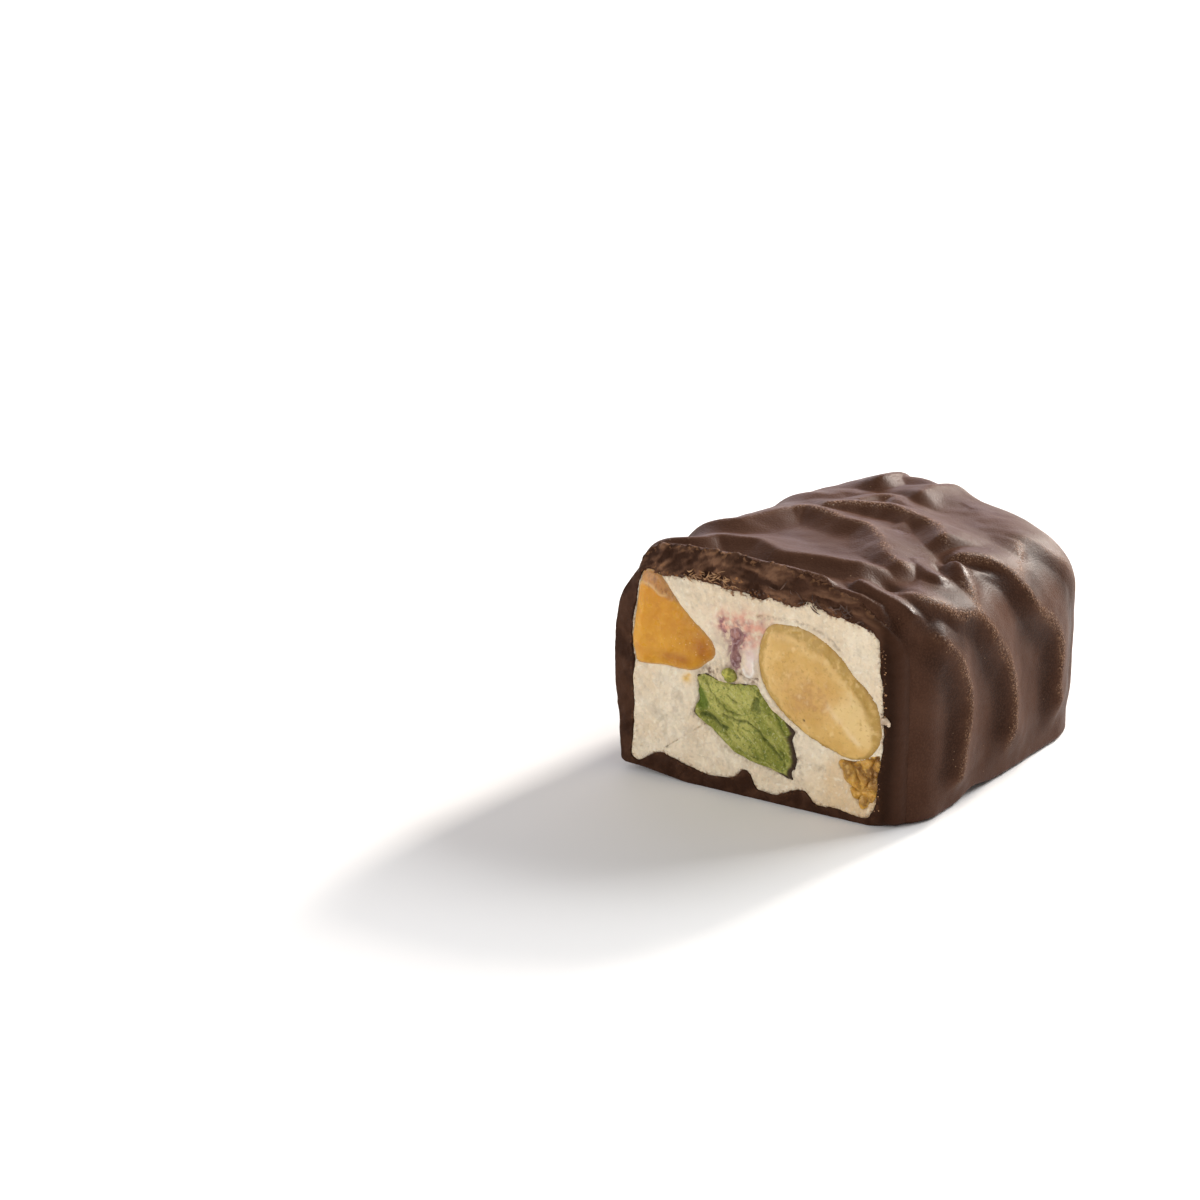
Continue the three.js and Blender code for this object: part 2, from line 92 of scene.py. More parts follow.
# Crests of the ripples: how far each stands out of the hollows beside it, how far down its flanks
# run, how grainy its line is, from 0 to 1, and where it lies on the block, as x, y, z. A flank is
# steeper on the right of its line, looked at along it from outside.
CRESTS = [
    # along the top of the cut
    (1.4, 3.4, 0.4, [
        (-15.2, -22, 22.3), (-11.5, -22, 24.3), (-6, -22, 24.9), (-2, -22, 25), (2, -21.8, 24.9),
        (5.6, -21.6, 24.4), (8.8, -21.5, 23.7),
    ]),
    (0.7, 2.2, 0.2, [(4, -21.7, 24.7), (8, -21.6, 23.9), (11, -21.3, 23.1), (13.4, -20.8, 22.3)]),
    # the long crest behind the cut, up over the left shoulder
    (1.3, 4.8, 0.25, [
        (-17.5, -15, 6), (-17, -16.2, 16), (-15.2, -18, 22.5), (-11.9, -19, 25), (-9.9, -17.6, 26),
        (-9.2, -15.9, 26), (-6.9, -15.2, 26), (-5.2, -14.9, 26), (-3.2, -15.9, 26), (-1.1, -16.7, 26),
        (0.6, -16.4, 25.9), (2.9, -15.7, 25.7), (5.6, -15.1, 25.4), (7.6, -13.8, 25.2), (9.4, -12, 25),
        (11, -10.9, 24.6),
    ]),
    # by the corner of the cut
    (1.15, 2.7, 0.1, [
        (7.8, -18, 24.8), (9.2, -18.7, 24.5), (10.8, -19.3, 24.2), (12.6, -19.4, 23.9), (14.3, -19.3, 23.3),
        (15.5, -19.2, 22.6), (16.6, -19.3, 21.4),
    ]),
    (1.2, 4.6, 0.9, [
        (17, -18, 20.6), (17.6, -17.1, 19.8), (18, -15.5, 18.6), (18.4, -14, 17.1), (18.5, -12.8, 15.1),
        (18.5, -11.8, 13.1), (18.5, -11.3, 11), (18.5, -11.3, 9.5), (18.5, -11.4, 7.5), (18.5, -11.8, 6),
        (18.4, -12.4, 4.5), (18.2, -13.4, 3), (18, -14.4, 1.5),
    ]),
    # along the left shoulder and across the top
    (1.2, 5.4, 0.5, [
        (-17.5, -8, 3), (-17.3, -8.4, 14), (-15.7, -9.6, 21.5), (-13, -9.6, 24.8), (-10.9, -8.6, 25.8),
        (-10.2, -6.5, 25.9), (-9.4, -4.6, 25.9), (-8.7, -2.4, 26), (-7.4, -1, 26), (-5.6, -1.2, 26),
    ]),
    (1.25, 5.4, 0.9, [
        (-9.4, -4.6, 25.9), (-8.7, -2.4, 26), (-7.4, -1, 26), (-5.6, -1.2, 26), (-3.2, -1.8, 25.9),
        (-0.8, -2.4, 25.8), (1.2, -2.6, 25.7), (3.4, -4.1, 25.6), (5.8, -7, 25.3), (7.9, -9.1, 25.1),
        (9.8, -10.3, 24.8), (12.6, -10.4, 24.2),
    ]),
    # round the scoop on the right shoulder and down the wall
    (1.3, 5.4, 1, [
        (11, -15, 24.5), (12.8, -16, 24), (14.4, -16.2, 23.3), (15.6, -15.1, 22.6), (16.4, -13.7, 21.9),
        (17, -12, 21), (17.4, -10, 20.4), (17.7, -8.4, 19.8), (18.1, -7.5, 18.9), (18.5, -6.4, 17.1),
        (18.6, -4.7, 15.2), (18.6, -3.2, 13.6), (18.6, -1.9, 11.5), (18.6, -1.2, 9.6), (18.6, -1, 7.7),
        (18.6, -0.9, 5.7), (18.5, -1.3, 4.2), (18.3, -2.2, 1.5),
    ]),
    (1.1, 3.6, 0, [
        (11.6, -3.9, 24.2), (12.5, -4.6, 23.9), (13.4, -5.4, 23.6), (14.4, -6.1, 23.1), (15.4, -6.7, 22.5),
        (16.3, -7.3, 21.7), (17, -7.9, 21), (17.6, -8.2, 19.9), (18.2, -8, 18.4),
    ]),
    (0.5, 3, 1, [(15.1, -6.5, 22.7), (16, -7.1, 22), (16.8, -7.7, 21.2), (17.6, -8.2, 19.9)]),
    (0.9, 3, 0, [
        (8.6, -7, 24.9), (10.2, -8.2, 24.5), (11.8, -9.2, 24.1), (13.2, -9.7, 23.6), (14.4, -9.6, 23.1),
    ]),
    (0.4, 2.6, 1, [
        (16.9, 1.9, 21.2), (16.5, 3.4, 21.7), (15.7, 5.2, 22.3), (14.5, 7.2, 23), (13.2, 9, 23.5),
    ]),
    # the next crest back, from the left shoulder round to the far end of the right wall
    (1.4, 5, 1, [
        (-7.6, -0.4, 26), (-5.9, 1.1, 26.1), (-4.4, 2.2, 26.1), (-2.5, 3.2, 26), (-0.6, 4.1, 25.9),
        (1.1, 3.9, 25.8), (3.4, 3.4, 25.7), (5.8, 2.7, 25.4), (7.4, 1.8, 25.2), (9.1, 0.1, 25),
        (10.8, -1.2, 24.7),
    ]),
    (1.2, 5.2, 1, [
        (9.6, -3.6, 24.8), (11.4, -3.4, 24.5), (12.8, -2.6, 24.1), (13.9, -0.7, 23.6), (14.8, 0.5, 23),
        (15.8, 1.3, 22.3), (16.7, 1.7, 21.4), (17.6, 2.3, 20), (18.3, 3, 18.5), (18.6, 4.6, 16.9),
        (18.6, 6.9, 15.4), (18.6, 8.8, 13.9), (18.6, 9.7, 11.8), (18.6, 9.7, 9.8), (18.6, 9.7, 7.8),
        (18.6, 10, 5.4), (18.5, 10.3, 2),
    ]),
    (0.6, 3.4, 0.3, [(2.4, 5.5, 25.5), (3, 2.6, 25.5), (3, -0.4, 25.5), (2.8, -4.6, 25.5)]),
    (0.9, 3.4, 0.4, [
        (-4.2, 3.8, 25.9), (-4, 6.3, 25.9), (-3.5, 8.2, 25.9), (-2.2, 8.8, 25.9), (-0.9, 7.5, 25.8),
        (1.2, 6.2, 25.7), (2.6, 4.4, 25.6),
    ]),
    (0.4, 4.2, 0.3, [
        (-17.5, 8, 4), (-17.5, 7.4, 14), (-16, 6.4, 21.5), (-12.5, 6, 25), (-8.9, 6.9, 25.9),
        (-8, 8.5, 25.9), (-5.5, 9.4, 25.9), (-3.9, 10, 25.9), (-2.2, 9, 25.8),
    ]),
    # over the back
    (1.4, 6.4, 0.3, [
        (-1.8, 7.4, 25.8), (-0.6, 9.8, 25.8), (-0.3, 13, 25.5), (0.2, 16, 24.9), (1, 19.5, 21.5),
        (2, 21.6, 14), (2, 21.6, 1),
    ]),
    (1.2, 4.5, 0.2, [(-7, 16.2, 24), (-3.6, 16.8, 24), (0.3, 15.5, 24.9)]),
    (1.6, 5, 0.2, [
        (-6.6, 9.6, 25.8), (-6.2, 13, 25.3), (-6.4, 17.5, 22.5), (-7.5, 21.2, 14), (-8.5, 21.4, 1),
    ]),
    (0.4, 4.5, 0.5, [(10.5, 8.5, 24), (14, 12, 20.5), (15.9, 15.5, 14.6), (15.9, 15.5, 2.6)]),
]
# Short deep folds beside the crests on the right shoulder: depth, width and path.
FOLDS = [
    (0.6, 0.8, [(9.2, -14.6, 24.1), (11, -15.5, 23.8), (12.6, -16, 23.5), (14, -16, 23)]),
    (0.6, 0.9, [
        (9.7, -2.8, 24), (11.2, -4.4, 23.9), (12.4, -6.2, 23.5), (13.8, -7.2, 22.9), (15.2, -7.7, 22),
    ]),
    (0.8, 0.6, [
        (11.6, -4, 24), (12.8, -3.6, 23.8), (13.7, -2.7, 23.4), (14.6, -1.4, 22.9), (15.6, -0.2, 22.2),
    ]),
]
# Where the chocolate has set smooth and shines: x, y, z and radius.
SMOOTH_POOLS = [
    (13.6, -9.4, 23.5, 1.5), (14.5, -4.7, 22.9, 1.7), (15.2, -18.9, 22.6, 1.2), (13.4, -19.1, 23.4, 1.3),
    (4.3, -0.6, 24.5, 1.3),
]
# How the flanks fall away from a crest, where they are grainy and where shade is painted at their foot, in
# distance from its line.
CREST_SAMPLES = 110
CREST_FADE = 0.12
CREST_NEAR = 1.5
CREST_ROUND = 0.5
FLANK_CURVE = 1.7
FLANK_TURN = 0.8
STEEP_SIDE = 0.62
GENTLE_SIDE = 1.25
GRAIN_AT = 0.1
GRAIN_WIDTH = 0.65
FLANK_SHADE_AT = 2.3
FLANK_SHADE_WIDTH = 1.5
SHARE_BLEND = 0.5
FAR = 20

# Outlines on the cut face, as x, z.
NOUGAT = [
    (-12.1, 22.3), (-10, 22.6), (-7.5, 22.55), (-5.5, 22.5), (-4.2, 22.1), (-2.6, 22.0),
    (-0.9, 21.7), (0.2, 21.9), (1.05, 22.2), (2.6, 21.8), (3.9, 21.8), (5.1, 22.35), (6.4, 22.1),
    (8.2, 21.5), (9.2, 21.6), (10, 21.3), (11.6, 21.05), (12.7, 20.6), (13.4, 19.8), (13.7, 18.4),
    (13.8, 16.5), (14.1, 14.5), (14.2, 12), (14.3, 9.5), (14.1, 7), (13.8, 5), (13.7, 3.2),
    (13.3, 1.7), (12.6, 0.8), (11, 0.8), (8.9, 1.05), (6.8, 0.9), (5.9, 1.3), (5.4, 2.1),
    (4.5, 2.1), (3.2, 1.6), (1.8, 0.95), (0.8, 0.9), (-0.5, 1.1), (-1.0, 1.9), (-1.3, 2.7),
    (-2.3, 2.8), (-2.9, 2.1), (-4.2, 1.7), (-6.3, 1.5), (-8.4, 1.8), (-10.3, 2.4), (-11.8, 2.8),
    (-13.2, 2.5), (-14.2, 1.8), (-15.3, 1.3), (-16.0, 1.7), (-15.9, 4), (-15.8, 8), (-15.9, 11),
    (-15.7, 12.4), (-16.1, 14.6), (-15.9, 17.2), (-15.5, 19.5), (-15.1, 21.3), (-14.5, 22.3),
]
ALMOND = [
    (0.3, 18.9), (1.05, 19.5), (2.9, 19.75), (5.0, 19.6), (6.6, 19.1), (8.2, 18.2), (9.5, 17.1),
    (10.8, 15.8), (12.1, 14.5), (13.4, 13.0), (14.0, 11.4), (14.1, 9.6), (13.6, 8.2), (12.6, 7.2),
    (11.3, 6.7), (10, 6.7), (8.4, 7.1), (6.3, 7.8), (4.5, 8.7), (2.9, 9.7), (1.3, 11.05),
    (0.1, 12.6), (-0.55, 14.5), (-0.6, 16.05), (-0.3, 17.6),
]
PISTACHIO = [
    (-7.9, 12.2), (-7.2, 12.6), (-6.3, 12.55), (-5.3, 12.2), (-4.0, 12.15), (-2.9, 12.3),
    (-1.6, 12.5), (-0.7, 12.6), (0.1, 11.6), (1.05, 10.5), (2.4, 9.6), (3.4, 8.95), (4.1, 8.2),
    (3.8, 7.4), (4.3, 6.05), (4.3, 4.7), (3.8, 3.8), (4.05, 2.95), (2.9, 3.1), (1.3, 3.6),
    (0, 3.75), (-1.8, 4.1), (-3.4, 4.6), (-4.5, 5.4), (-5.8, 6.4), (-7.1, 7.2), (-8.3, 7.9),
    (-8.35, 8.7), (-7.9, 9.7), (-7.95, 11.05),
]
ORANGE = [
    (-14.6, 22.5), (-13.6, 22.7), (-12.5, 22.4), (-11.8, 21.7), (-10.8, 20.5), (-9.5, 19.2),
    (-8.2, 18.0), (-6.8, 16.9), (-5.9, 15.9), (-5.6, 15.0), (-5.9, 14.3), (-6.8, 13.6),
    (-7.6, 12.9), (-8.6, 12.5), (-10, 12.4), (-12.1, 12.4), (-14.2, 12.2), (-15.4, 12.3),
    (-15.75, 13.2), (-16.1, 14.7), (-15.85, 16.8), (-15.45, 19.5), (-15.1, 21.3),
]
BERRY = [
    (-4.0, 17.8), (-3.6, 18.3), (-3.0, 18.45), (-2.4, 18.1), (-2.15, 17.6), (-2.45, 16.8),
    (-2.75, 16.0), (-2.6, 15.1), (-2.95, 14.0), (-3.6, 13.95), (-3.95, 15.0), (-3.75, 16.4),
]
BRITTLE = [
    (9.4, 6.6), (10.8, 6.75), (12.4, 7.2), (13.9, 7.9), (14.0, 6.6), (13.8, 5.0), (13.7, 3.7),
    (13.2, 2.6), (12.1, 1.75), (11.3, 2.5), (10.5, 3.8), (9.7, 5.0), (9.15, 5.9),
]
PISTACHIO_CRUMB = [
    (-4.9, 13.1), (-4.5, 13.6), (-3.9, 13.75), (-3.3, 13.4), (-3.1, 12.8), (-3.5, 12.3),
    (-4.2, 12.15), (-4.8, 12.5),
]
RIM_SAMPLES = 720
# A place inside the cut face from which its whole edge can be seen.
FACE_MIDDLE = (-1.0, 11.8)

SPLINE_STEPS = 24
NOISE_SHIFT = np.array([17.3, -9.1, 5.7])
CELL_SHIFT = np.array([3.1, 11.7, -6.3])


# ---------------------------------------------------------------------------------------------------
# Numbers


def smoothstep(value, start=0.0, end=1.0):
    """0 up to start, 1 from end, and an even slide between."""
    share = np.clip((value - start) / (end - start), 0, 1)
    return share * share * (3 - 2 * share)


def bell(distance):
    """1 in the middle, falling smoothly to 0 on both sides."""
    return np.exp(-np.square(distance))


def evenly_spaced(line, count, endpoint):
    """Evenly spaced points along a line."""
    run = np.concatenate([[0], np.cumsum(np.linalg.norm(np.diff(line, axis=0), axis=1))])
    stops = np.linspace(0, run[-1], count, endpoint=endpoint)
    return np.stack([np.interp(stops, run, column) for column in line.T], axis=1)


def spline(knots, count, closed=False):
    """Evenly spaced points along a centripetal Catmull-Rom curve through the knots."""
    knots = np.array(knots, float)
    if closed:
        knots = np.vstack([knots[-1], knots, knots[:2]])
    else:
        knots = np.vstack([2 * knots[0] - knots[1], knots, 2 * knots[-1] - knots[-2]])
    spans = np.sqrt(np.linalg.norm(np.diff(knots, axis=0), axis=1))
    share = np.linspace(0, 1, SPLINE_STEPS, endpoint=False)[:, None]
    parts = []
    for i in range(1, len(knots) - 2):
        before, start, end, after = knots[i - 1 : i + 3]
        span_before, span, span_after = spans[i - 1 : i + 2]
        chord = (end - start) / span
        leave = (start - before) / span_before - (end - before) / (span_before + span) + chord
        arrive = chord - (after - start) / (span + span_after) + (after - end) / span_after
        hermite = (2 * share**3 - 3 * share**2 + 1) * start + (3 * share**2 - 2 * share**3) * end
        turn = (share**3 - 2 * share**2 + share) * leave + (share**3 - share**2) * arrive
        parts.append(hermite + span * turn)
    return evenly_spaced(np.vstack([*parts, knots[-2]]), count, endpoint=not closed)


def rough(points, grain, seed, octaves=4):
    """Smooth random heights of about -1 to 1, with features of about the given size."""
    places = (points / grain + NOISE_SHIFT * seed).tolist()
    return np.array([noise.fractal(place, 1.0, 2.0, octaves) for place in places])


def cells(points, grain, seed):
    """For a pattern of cells: the distance to the nearest cell's middle and to the border beside it."""
    places = (points / grain + CELL_SHIFT * seed).tolist()
    nearest = np.array([noise.voronoi(place)[0][:2] for place in places])
    return nearest[:, 0] * grain, (nearest[:, 1] - nearest[:, 0]) * grain


def on_face(x, z):
    """Points of the cut face as x, y, z."""
    return np.stack([x, np.full_like(x, CUT_Y), z], axis=1)


def inside(x, z, outline):
    """How far points of the cut face lie inside a closed outline; negative outside it."""
    nearest = np.full(len(x), np.inf)
    within = np.zeros(len(x), bool)
    for (ax, az), (bx, bz) in zip(outline, np.roll(outline, -1, axis=0)):
        dx = bx - ax
        dz = bz - az
        share = np.clip(((x - ax) * dx + (z - az) * dz) / (dx * dx + dz * dz), 0, 1)
        nearest = np.minimum(nearest, np.hypot(x - ax - share * dx, z - az - share * dz))
        if az != bz:
            within ^= ((az > z) != (bz > z)) & (x < ax + (z - az) * dx / dz)
    return np.where(within, nearest, -nearest)


def beside(x, z, path):
    """The distance of points of the cut face from a line drawn through a few points."""
    line = spline(path, 60)
    offsets = np.hypot(x[:, None] - line[:, 0], z[:, None] - line[:, 1])
    return offsets.min(axis=1)


def spot(x, z, middle, radius):
    """1 in the middle of an upright oval spot on the cut face, falling smoothly to 0."""
    return bell(np.hypot((x - middle[0]) / radius[0], (z - middle[1]) / radius[1]))


def spots(x, z, marks):
    """The sum of several spots, each given as its strength, middle and radius."""
    return sum(strength * spot(x, z, middle, radius) for strength, middle, radius in marks)


def streak(x, z, line, width):
    """1 on a line drawn through a few points of the cut face, falling smoothly to 0 beside it."""
    return bell(beside(x, z, line) / width)


# ---------------------------------------------------------------------------------------------------
# Meshes


def closed_outline(knots):
    """A closed outline of the cut face, counterclockwise as seen, starting at its right."""
    line = spline(knots, RIM_SAMPLES, closed=True)
    middle = line.mean(axis=0)
    out = line - middle
    area = np.sum(line[:, 0] * np.roll(line[:, 1], -1) - np.roll(line[:, 0], -1) * line[:, 1])
    if area < 0:
        line = line[::-1]
        out = out[::-1]
    start = np.argmin(np.abs(np.arctan2(out[:, 1], out[:, 0])))
    return np.roll(line, -start, axis=0)


def along(line, turn):
    """Points at the given shares of a turn round a closed line."""
    stops = np.linspace(0, 1, len(line) + 1)
    ring = np.vstack([line, line[:1]])
    return np.stack([np.interp(turn % 1.0, stops, column) for column in ring.T], axis=1)


def extrude_rows(bm, edges, rows, layer):
    """Adds rows of faces to the given open edges, and numbers each row's points in the layer."""
    for row in range(1, rows + 1):
        grown = bmesh.ops.extrude_edge_only(bm, edges=edges)["geom"]
        for item in grown:
            if isinstance(item, bmesh.types.BMVert):
                item[layer] = row
        edges = [item for item in grown if isinstance(item, bmesh.types.BMEdge)]
        edges = [edge for edge in edges if all(vert[layer] == row for vert in edge.verts)]
    return edges


def finished_mesh(bm, name, points, attributes):
    """The mesh with its points moved to the given places, in millimetres, and named values on them."""
    mesh = bpy.data.meshes.new(name)
    bm.to_mesh(mesh)
    bm.free()
    placed = (points + SHIFT) * MM
    mesh.vertices.foreach_set("co", placed.astype(np.float32).ravel())
    for label, values in attributes.items():
        layer = mesh.attributes.new(label, "FLOAT", "POINT")
        layer.data.foreach_set("value", np.asarray(values, np.float32))
    mesh.polygons.foreach_set("use_smooth", [True] * len(mesh.polygons))
    mesh.update()
    turned = bmesh.new()
    turned.from_mesh(mesh)
    bmesh.ops.recalc_face_normals(turned, faces=turned.faces)
    turned.to_mesh(mesh)
    turned.free()
    return mesh


def add_piece(mesh, name, finish, node=None):
    """Puts a mesh into the scene as a piece of the bar."""
    piece = bpy.data.objects.new(name, mesh)
    bpy.context.scene.collection.objects.link(piece)
    mesh.materials.append(finish)
    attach(piece, BODY)
    if node:
        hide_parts(node)


# ---------------------------------------------------------------------------------------------------
# The coating


def shoulder(side, size, towards_end):
    """How far a shoulder reaches across or down, on its way from the cut to the far end."""
    start = OUTSIDE[side]["cut"][size]
    return start + (OUTSIDE[side]["end"][size] - start) * towards_end


def block_point(a, b, c):
    """Places points of the box from -1 to 1 on the rounded block."""
    y_share = (1 + b) / 2
    depth = OUTSIDE["back"] - CUT_Y
    towards_end = smoothstep((BEFORE_CUT + depth * y_share) / (BEFORE_CUT + depth))
    left_across = shoulder("left_shoulder", "across", towards_end)
    right_across = shoulder("right_shoulder", "across", towards_end)
    turn = np.clip((c - WALL_TOP) / (1 - WALL_TOP), 0, 1) * math.pi / 2
    inset = 1 - np.cos(turn)
    left = OUTSIDE["left"] + left_across * inset
    right = OUTSIDE["right"] - right_across * inset
    back = OUTSIDE["back"] - OUTSIDE["end_shoulder"] * inset
    half_x = (right - left) / 2
    middle_x = (right + left) / 2
    plan_x = a * half_x
    plan_y = CUT_Y + (back - CUT_Y) * y_share
    radius = OUTSIDE["corner_radius"] - CORNER_EASE * (left_across + right_across) * inset
    inner_x = np.clip(plan_x, radius - half_x, half_x - radius)
    inner_y = np.minimum(plan_y, back - radius)
    out_x = plan_x - inner_x
    out_y = plan_y - inner_y
    length = np.maximum(np.hypot(out_x, out_y), 1e-9)
    stretch = np.maximum(np.abs(out_x), np.abs(out_y)) / length
    x = middle_x + inner_x + out_x * stretch
    y = inner_y + out_y * stretch

    across = x / HALF_WIDTH
    height = LEFT_HEIGHT + (RIGHT_HEIGHT - LEFT_HEIGHT) * (across + 1) / 2
    height = height + CROWN * (1 - across**2) * (1 - np.maximum(y / END_Y, 0) ** 4)
    from_left = (x - OUTSIDE["left"]) / (OUTSIDE["right"] - OUTSIDE["left"])
    left_down = shoulder("left_shoulder", "down", towards_end)
    right_down = shoulder("right_shoulder", "down", towards_end)
    down = left_down + (right_down - left_down) * from_left
    wall = height - down
    up = np.where(turn > 0, wall + down * np.sin(turn), wall * (c + 1) / (1 + WALL_TOP))
    return np.stack([x, y, up], axis=1)


def outward(points):
    """Which way is out of the block at points on or near its surface."""
    heart = np.stack([
        np.clip(points[:, 0], -HEART["half_width"], HEART["half_width"]),
        np.minimum(points[:, 1], HEART["back"]),
        np.minimum(points[:, 2], HEART["top"]),
    ], axis=1)
    out = points - heart
    return out / np.maximum(np.linalg.norm(out, axis=1, keepdims=True), 1e-9)


def from_path(points, normals, path):
    """The distance of points from a path on the block, along its surface, which is below 0 on the path's
    left, and the share of the path, from 0 to 1, at which the nearest place on it lies."""
    line = spline(path, CREST_SAMPLES)
    heading = np.gradient(line, axis=0)
    nearest = np.full(len(points), np.inf)
    side = np.ones(len(points))
    weights = np.zeros(len(points))
    shares = np.zeros(len(points))
    for k, (on_path, ahead) in enumerate(zip(line, heading)):
        offset = points - on_path
        over = np.einsum("ij,ij->i", offset, normals)
        across = np.sqrt(np.maximum(np.einsum("ij,ij->i", offset, offset) - over**2, 0))
        distance = np.hypot(across, np.maximum(np.abs(over) - CREST_NEAR, 0))
        closer = distance < nearest
        nearest[closer] = distance[closer]
        right = np.cross(ahead, normals[closer])
        side[closer] = np.einsum("ij,ij->i", right, offset[closer])
        weight = np.exp(-np.minimum(distance, FAR) / SHARE_BLEND)
        weights += weight
        shares += weight * k
    return nearest * np.where(side < 0, -1, 1), shares / weights / (CREST_SAMPLES - 1)


def ripples(points, normals):
    """How far the ripples stand out at each point, how grainy it is there, and how near it lies to the
    foot of a crest's steep side on the right wall, where shade is painted; the last two from 0 to 1."""
    rise = np.zeros(len(points))
    grain = np.zeros(len(points))
    flank_shade = np.zeros(len(points))
    for height, reach, grainy, path in CRESTS:
        margin = reach + CREST_NEAR + 1
        above = points > np.min(path, axis=0) - margin
        below = points < np.max(path, axis=0) + margin
        near = np.all(above & below, axis=1)
        side, share = from_path(points[near], normals[near], path)
        fade = smoothstep(share, 0, CREST_FADE) * smoothstep(1 - share, 0, CREST_FADE)
        rounded = np.hypot(side, CREST_ROUND) - CREST_ROUND
        gentle = smoothstep(-side, -FLANK_TURN, FLANK_TURN)
        steepness = STEEP_SIDE + (GENTLE_SIDE - STEEP_SIDE) * gentle
        flank = np.maximum(1 - rounded / (reach * steepness), 0) ** FLANK_CURVE
        rise[near] = np.maximum(rise[near], height * fade * flank)
        grain[near] = np.maximum(grain[near], grainy * fade * bell((side - GRAIN_AT) / GRAIN_WIDTH))
        # Painted shade, strongest a little way down the steep flank.
        flank_shade[near] = np.maximum(flank_shade[near], fade * bell((side - FLANK_SHADE_AT) / FLANK_SHADE_WIDTH))
    for depth, width, path in FOLDS:
        side, share = from_path(points, normals, path)
        rise = rise - depth * bell(side / width) * np.sin(math.pi * share)
    on_wall = smoothstep(normals[:, 0], 0.4, 0.85)
    return rise, grain, flank_shade * on_wall


def front_lean(x, z):
    """How far the outer edge of the cut lies behind the cut: the right side is rounded off."""
    right = smoothstep(x, 12.5, 15.5) * (1 - smoothstep(z, 18.5, 23))
    top = smoothstep(z, 19.5, 22.2)
    return 0.2 + 2.1 * right + 0.5 * top * (1 - right)


def strayed(points):
    """The points, moved a little at random, which makes the crests waver."""
    drift = np.stack([rough(points, DRIFT["size"], seed, 2) for seed in (1, 2, 3)], axis=1)
    tremble = np.stack([rough(points, TREMBLE["size"], seed, 2) for seed in (4, 5, 6)], axis=1)
    return points + DRIFT["by"] * drift + TREMBLE["by"] * tremble


def swollen(points, normals, rise):
    """The points of the block with the ripples on it, a bellied left wall and a tucked-in right edge."""
    height = smoothstep(points[:, 2], 0, FLUTE_FOOT["height"])
    rise = rise * (FLUTE_FOOT["least"] + (1 - FLUTE_FOOT["least"]) * height)
    belly = LEFT_BELLY["rise"] * np.maximum(-normals[:, 0], 0)
    belly = belly * bell((points[:, 2] - LEFT_BELLY["z"]) / LEFT_BELLY["spread"])
    from_cut = smoothstep(points[:, 1], CUT_Y, CUT_Y + CUT_CORNER["run"])
    tuck = CUT_CORNER["tuck"] * np.maximum(normals[:, 0], 0) * (1 - from_cut)
    waver = SWELL["by"] * rough(points, SWELL["size"], 7, 2)
    waver = waver + PIMPLES["by"] * rough(points, PIMPLES["size"], 8, 3)
    return points + normals * (rise + belly - tuck + waver)[:, None]


def set_down(points, normals, on_block):
    """Rounds the foot, lifts the low edge a little in two places and leans the front edge back."""
    foot = np.clip(1 - on_block[:, 2] / FOOT_ROUND, 0, 1)
    foot = FOOT_ROUND * (1 - np.sqrt(1 - foot**2))
    flat = normals * np.array([1, 1, 0])
    points = points - flat * foot[:, None]
    low = 1 - smoothstep(points[:, 2], 0, LOW_EDGE["height"])
    curl = smoothstep(-points[:, 0], 8, 17) * (1 - smoothstep(points[:, 1], CUT_Y + 2, CUT_Y + 12))
    arch = smoothstep(points[:, 0], 12, 17)
    arch = arch * bell((points[:, 1] - LOW_EDGE["arch_y"]) / LOW_EDGE["arch_spread"])
    points[:, 2] += low * (LOW_EDGE["curl"] * curl + LOW_EDGE["arch"] * arch)
    from_front = np.clip((points[:, 1] - CUT_Y) / FRONT_RUN, 0, 1)
    points[:, 1] += front_lean(points[:, 0], points[:, 2]) * (1 - from_front) ** 2
    return points


def coating_points(box):
    """The outer surface of the chocolate at points of the box from -1 to 1, and the values it carries."""
    on_block = block_point(box[:, 0], box[:, 1], box[:, 2])
    normals = outward(on_block)
    rise, line, flank_shade = ripples(strayed(on_block), normals)
    points = set_down(swollen(on_block, normals, rise), normals, on_block)
    glossy = np.zeros(len(points))
    for x, y, z, radius in SMOOTH_POOLS:
        away = np.linalg.norm(points - np.array([x, y, z]), axis=1)
        glossy = np.maximum(glossy, bell(away / radius))
    return points, {"crest": line, "flank_shade": flank_shade, "glossy": glossy}


COATING_GRID = (140, 150, 84)


def grid_box(counts):
    """A box from -1 to 1 whose faces are divided into the given numbers of squares."""
    bm = bmesh.new()
    bmesh.ops.create_cube(bm, size=2)
    for axis, parts in enumerate(counts):
        edges = [
            edge for edge in bm.edges
            if abs(edge.verts[0].co[axis] - edge.verts[1].co[axis]) > 1e-4
        ]
        bmesh.ops.subdivide_edges(bm, edges=edges, cuts=parts - 1, use_grid_fill=True)
    return bm


POCKET_ROWS = 12
POCKET_END = 36
POCKET_BLUNT = 6
LEAST_SIZE = 0.05
SEAT = 0.5  # how far behind the cut the shell's own front band lies
BAND_SHARE = 0.08
CHIP_DEPTH = 0.6


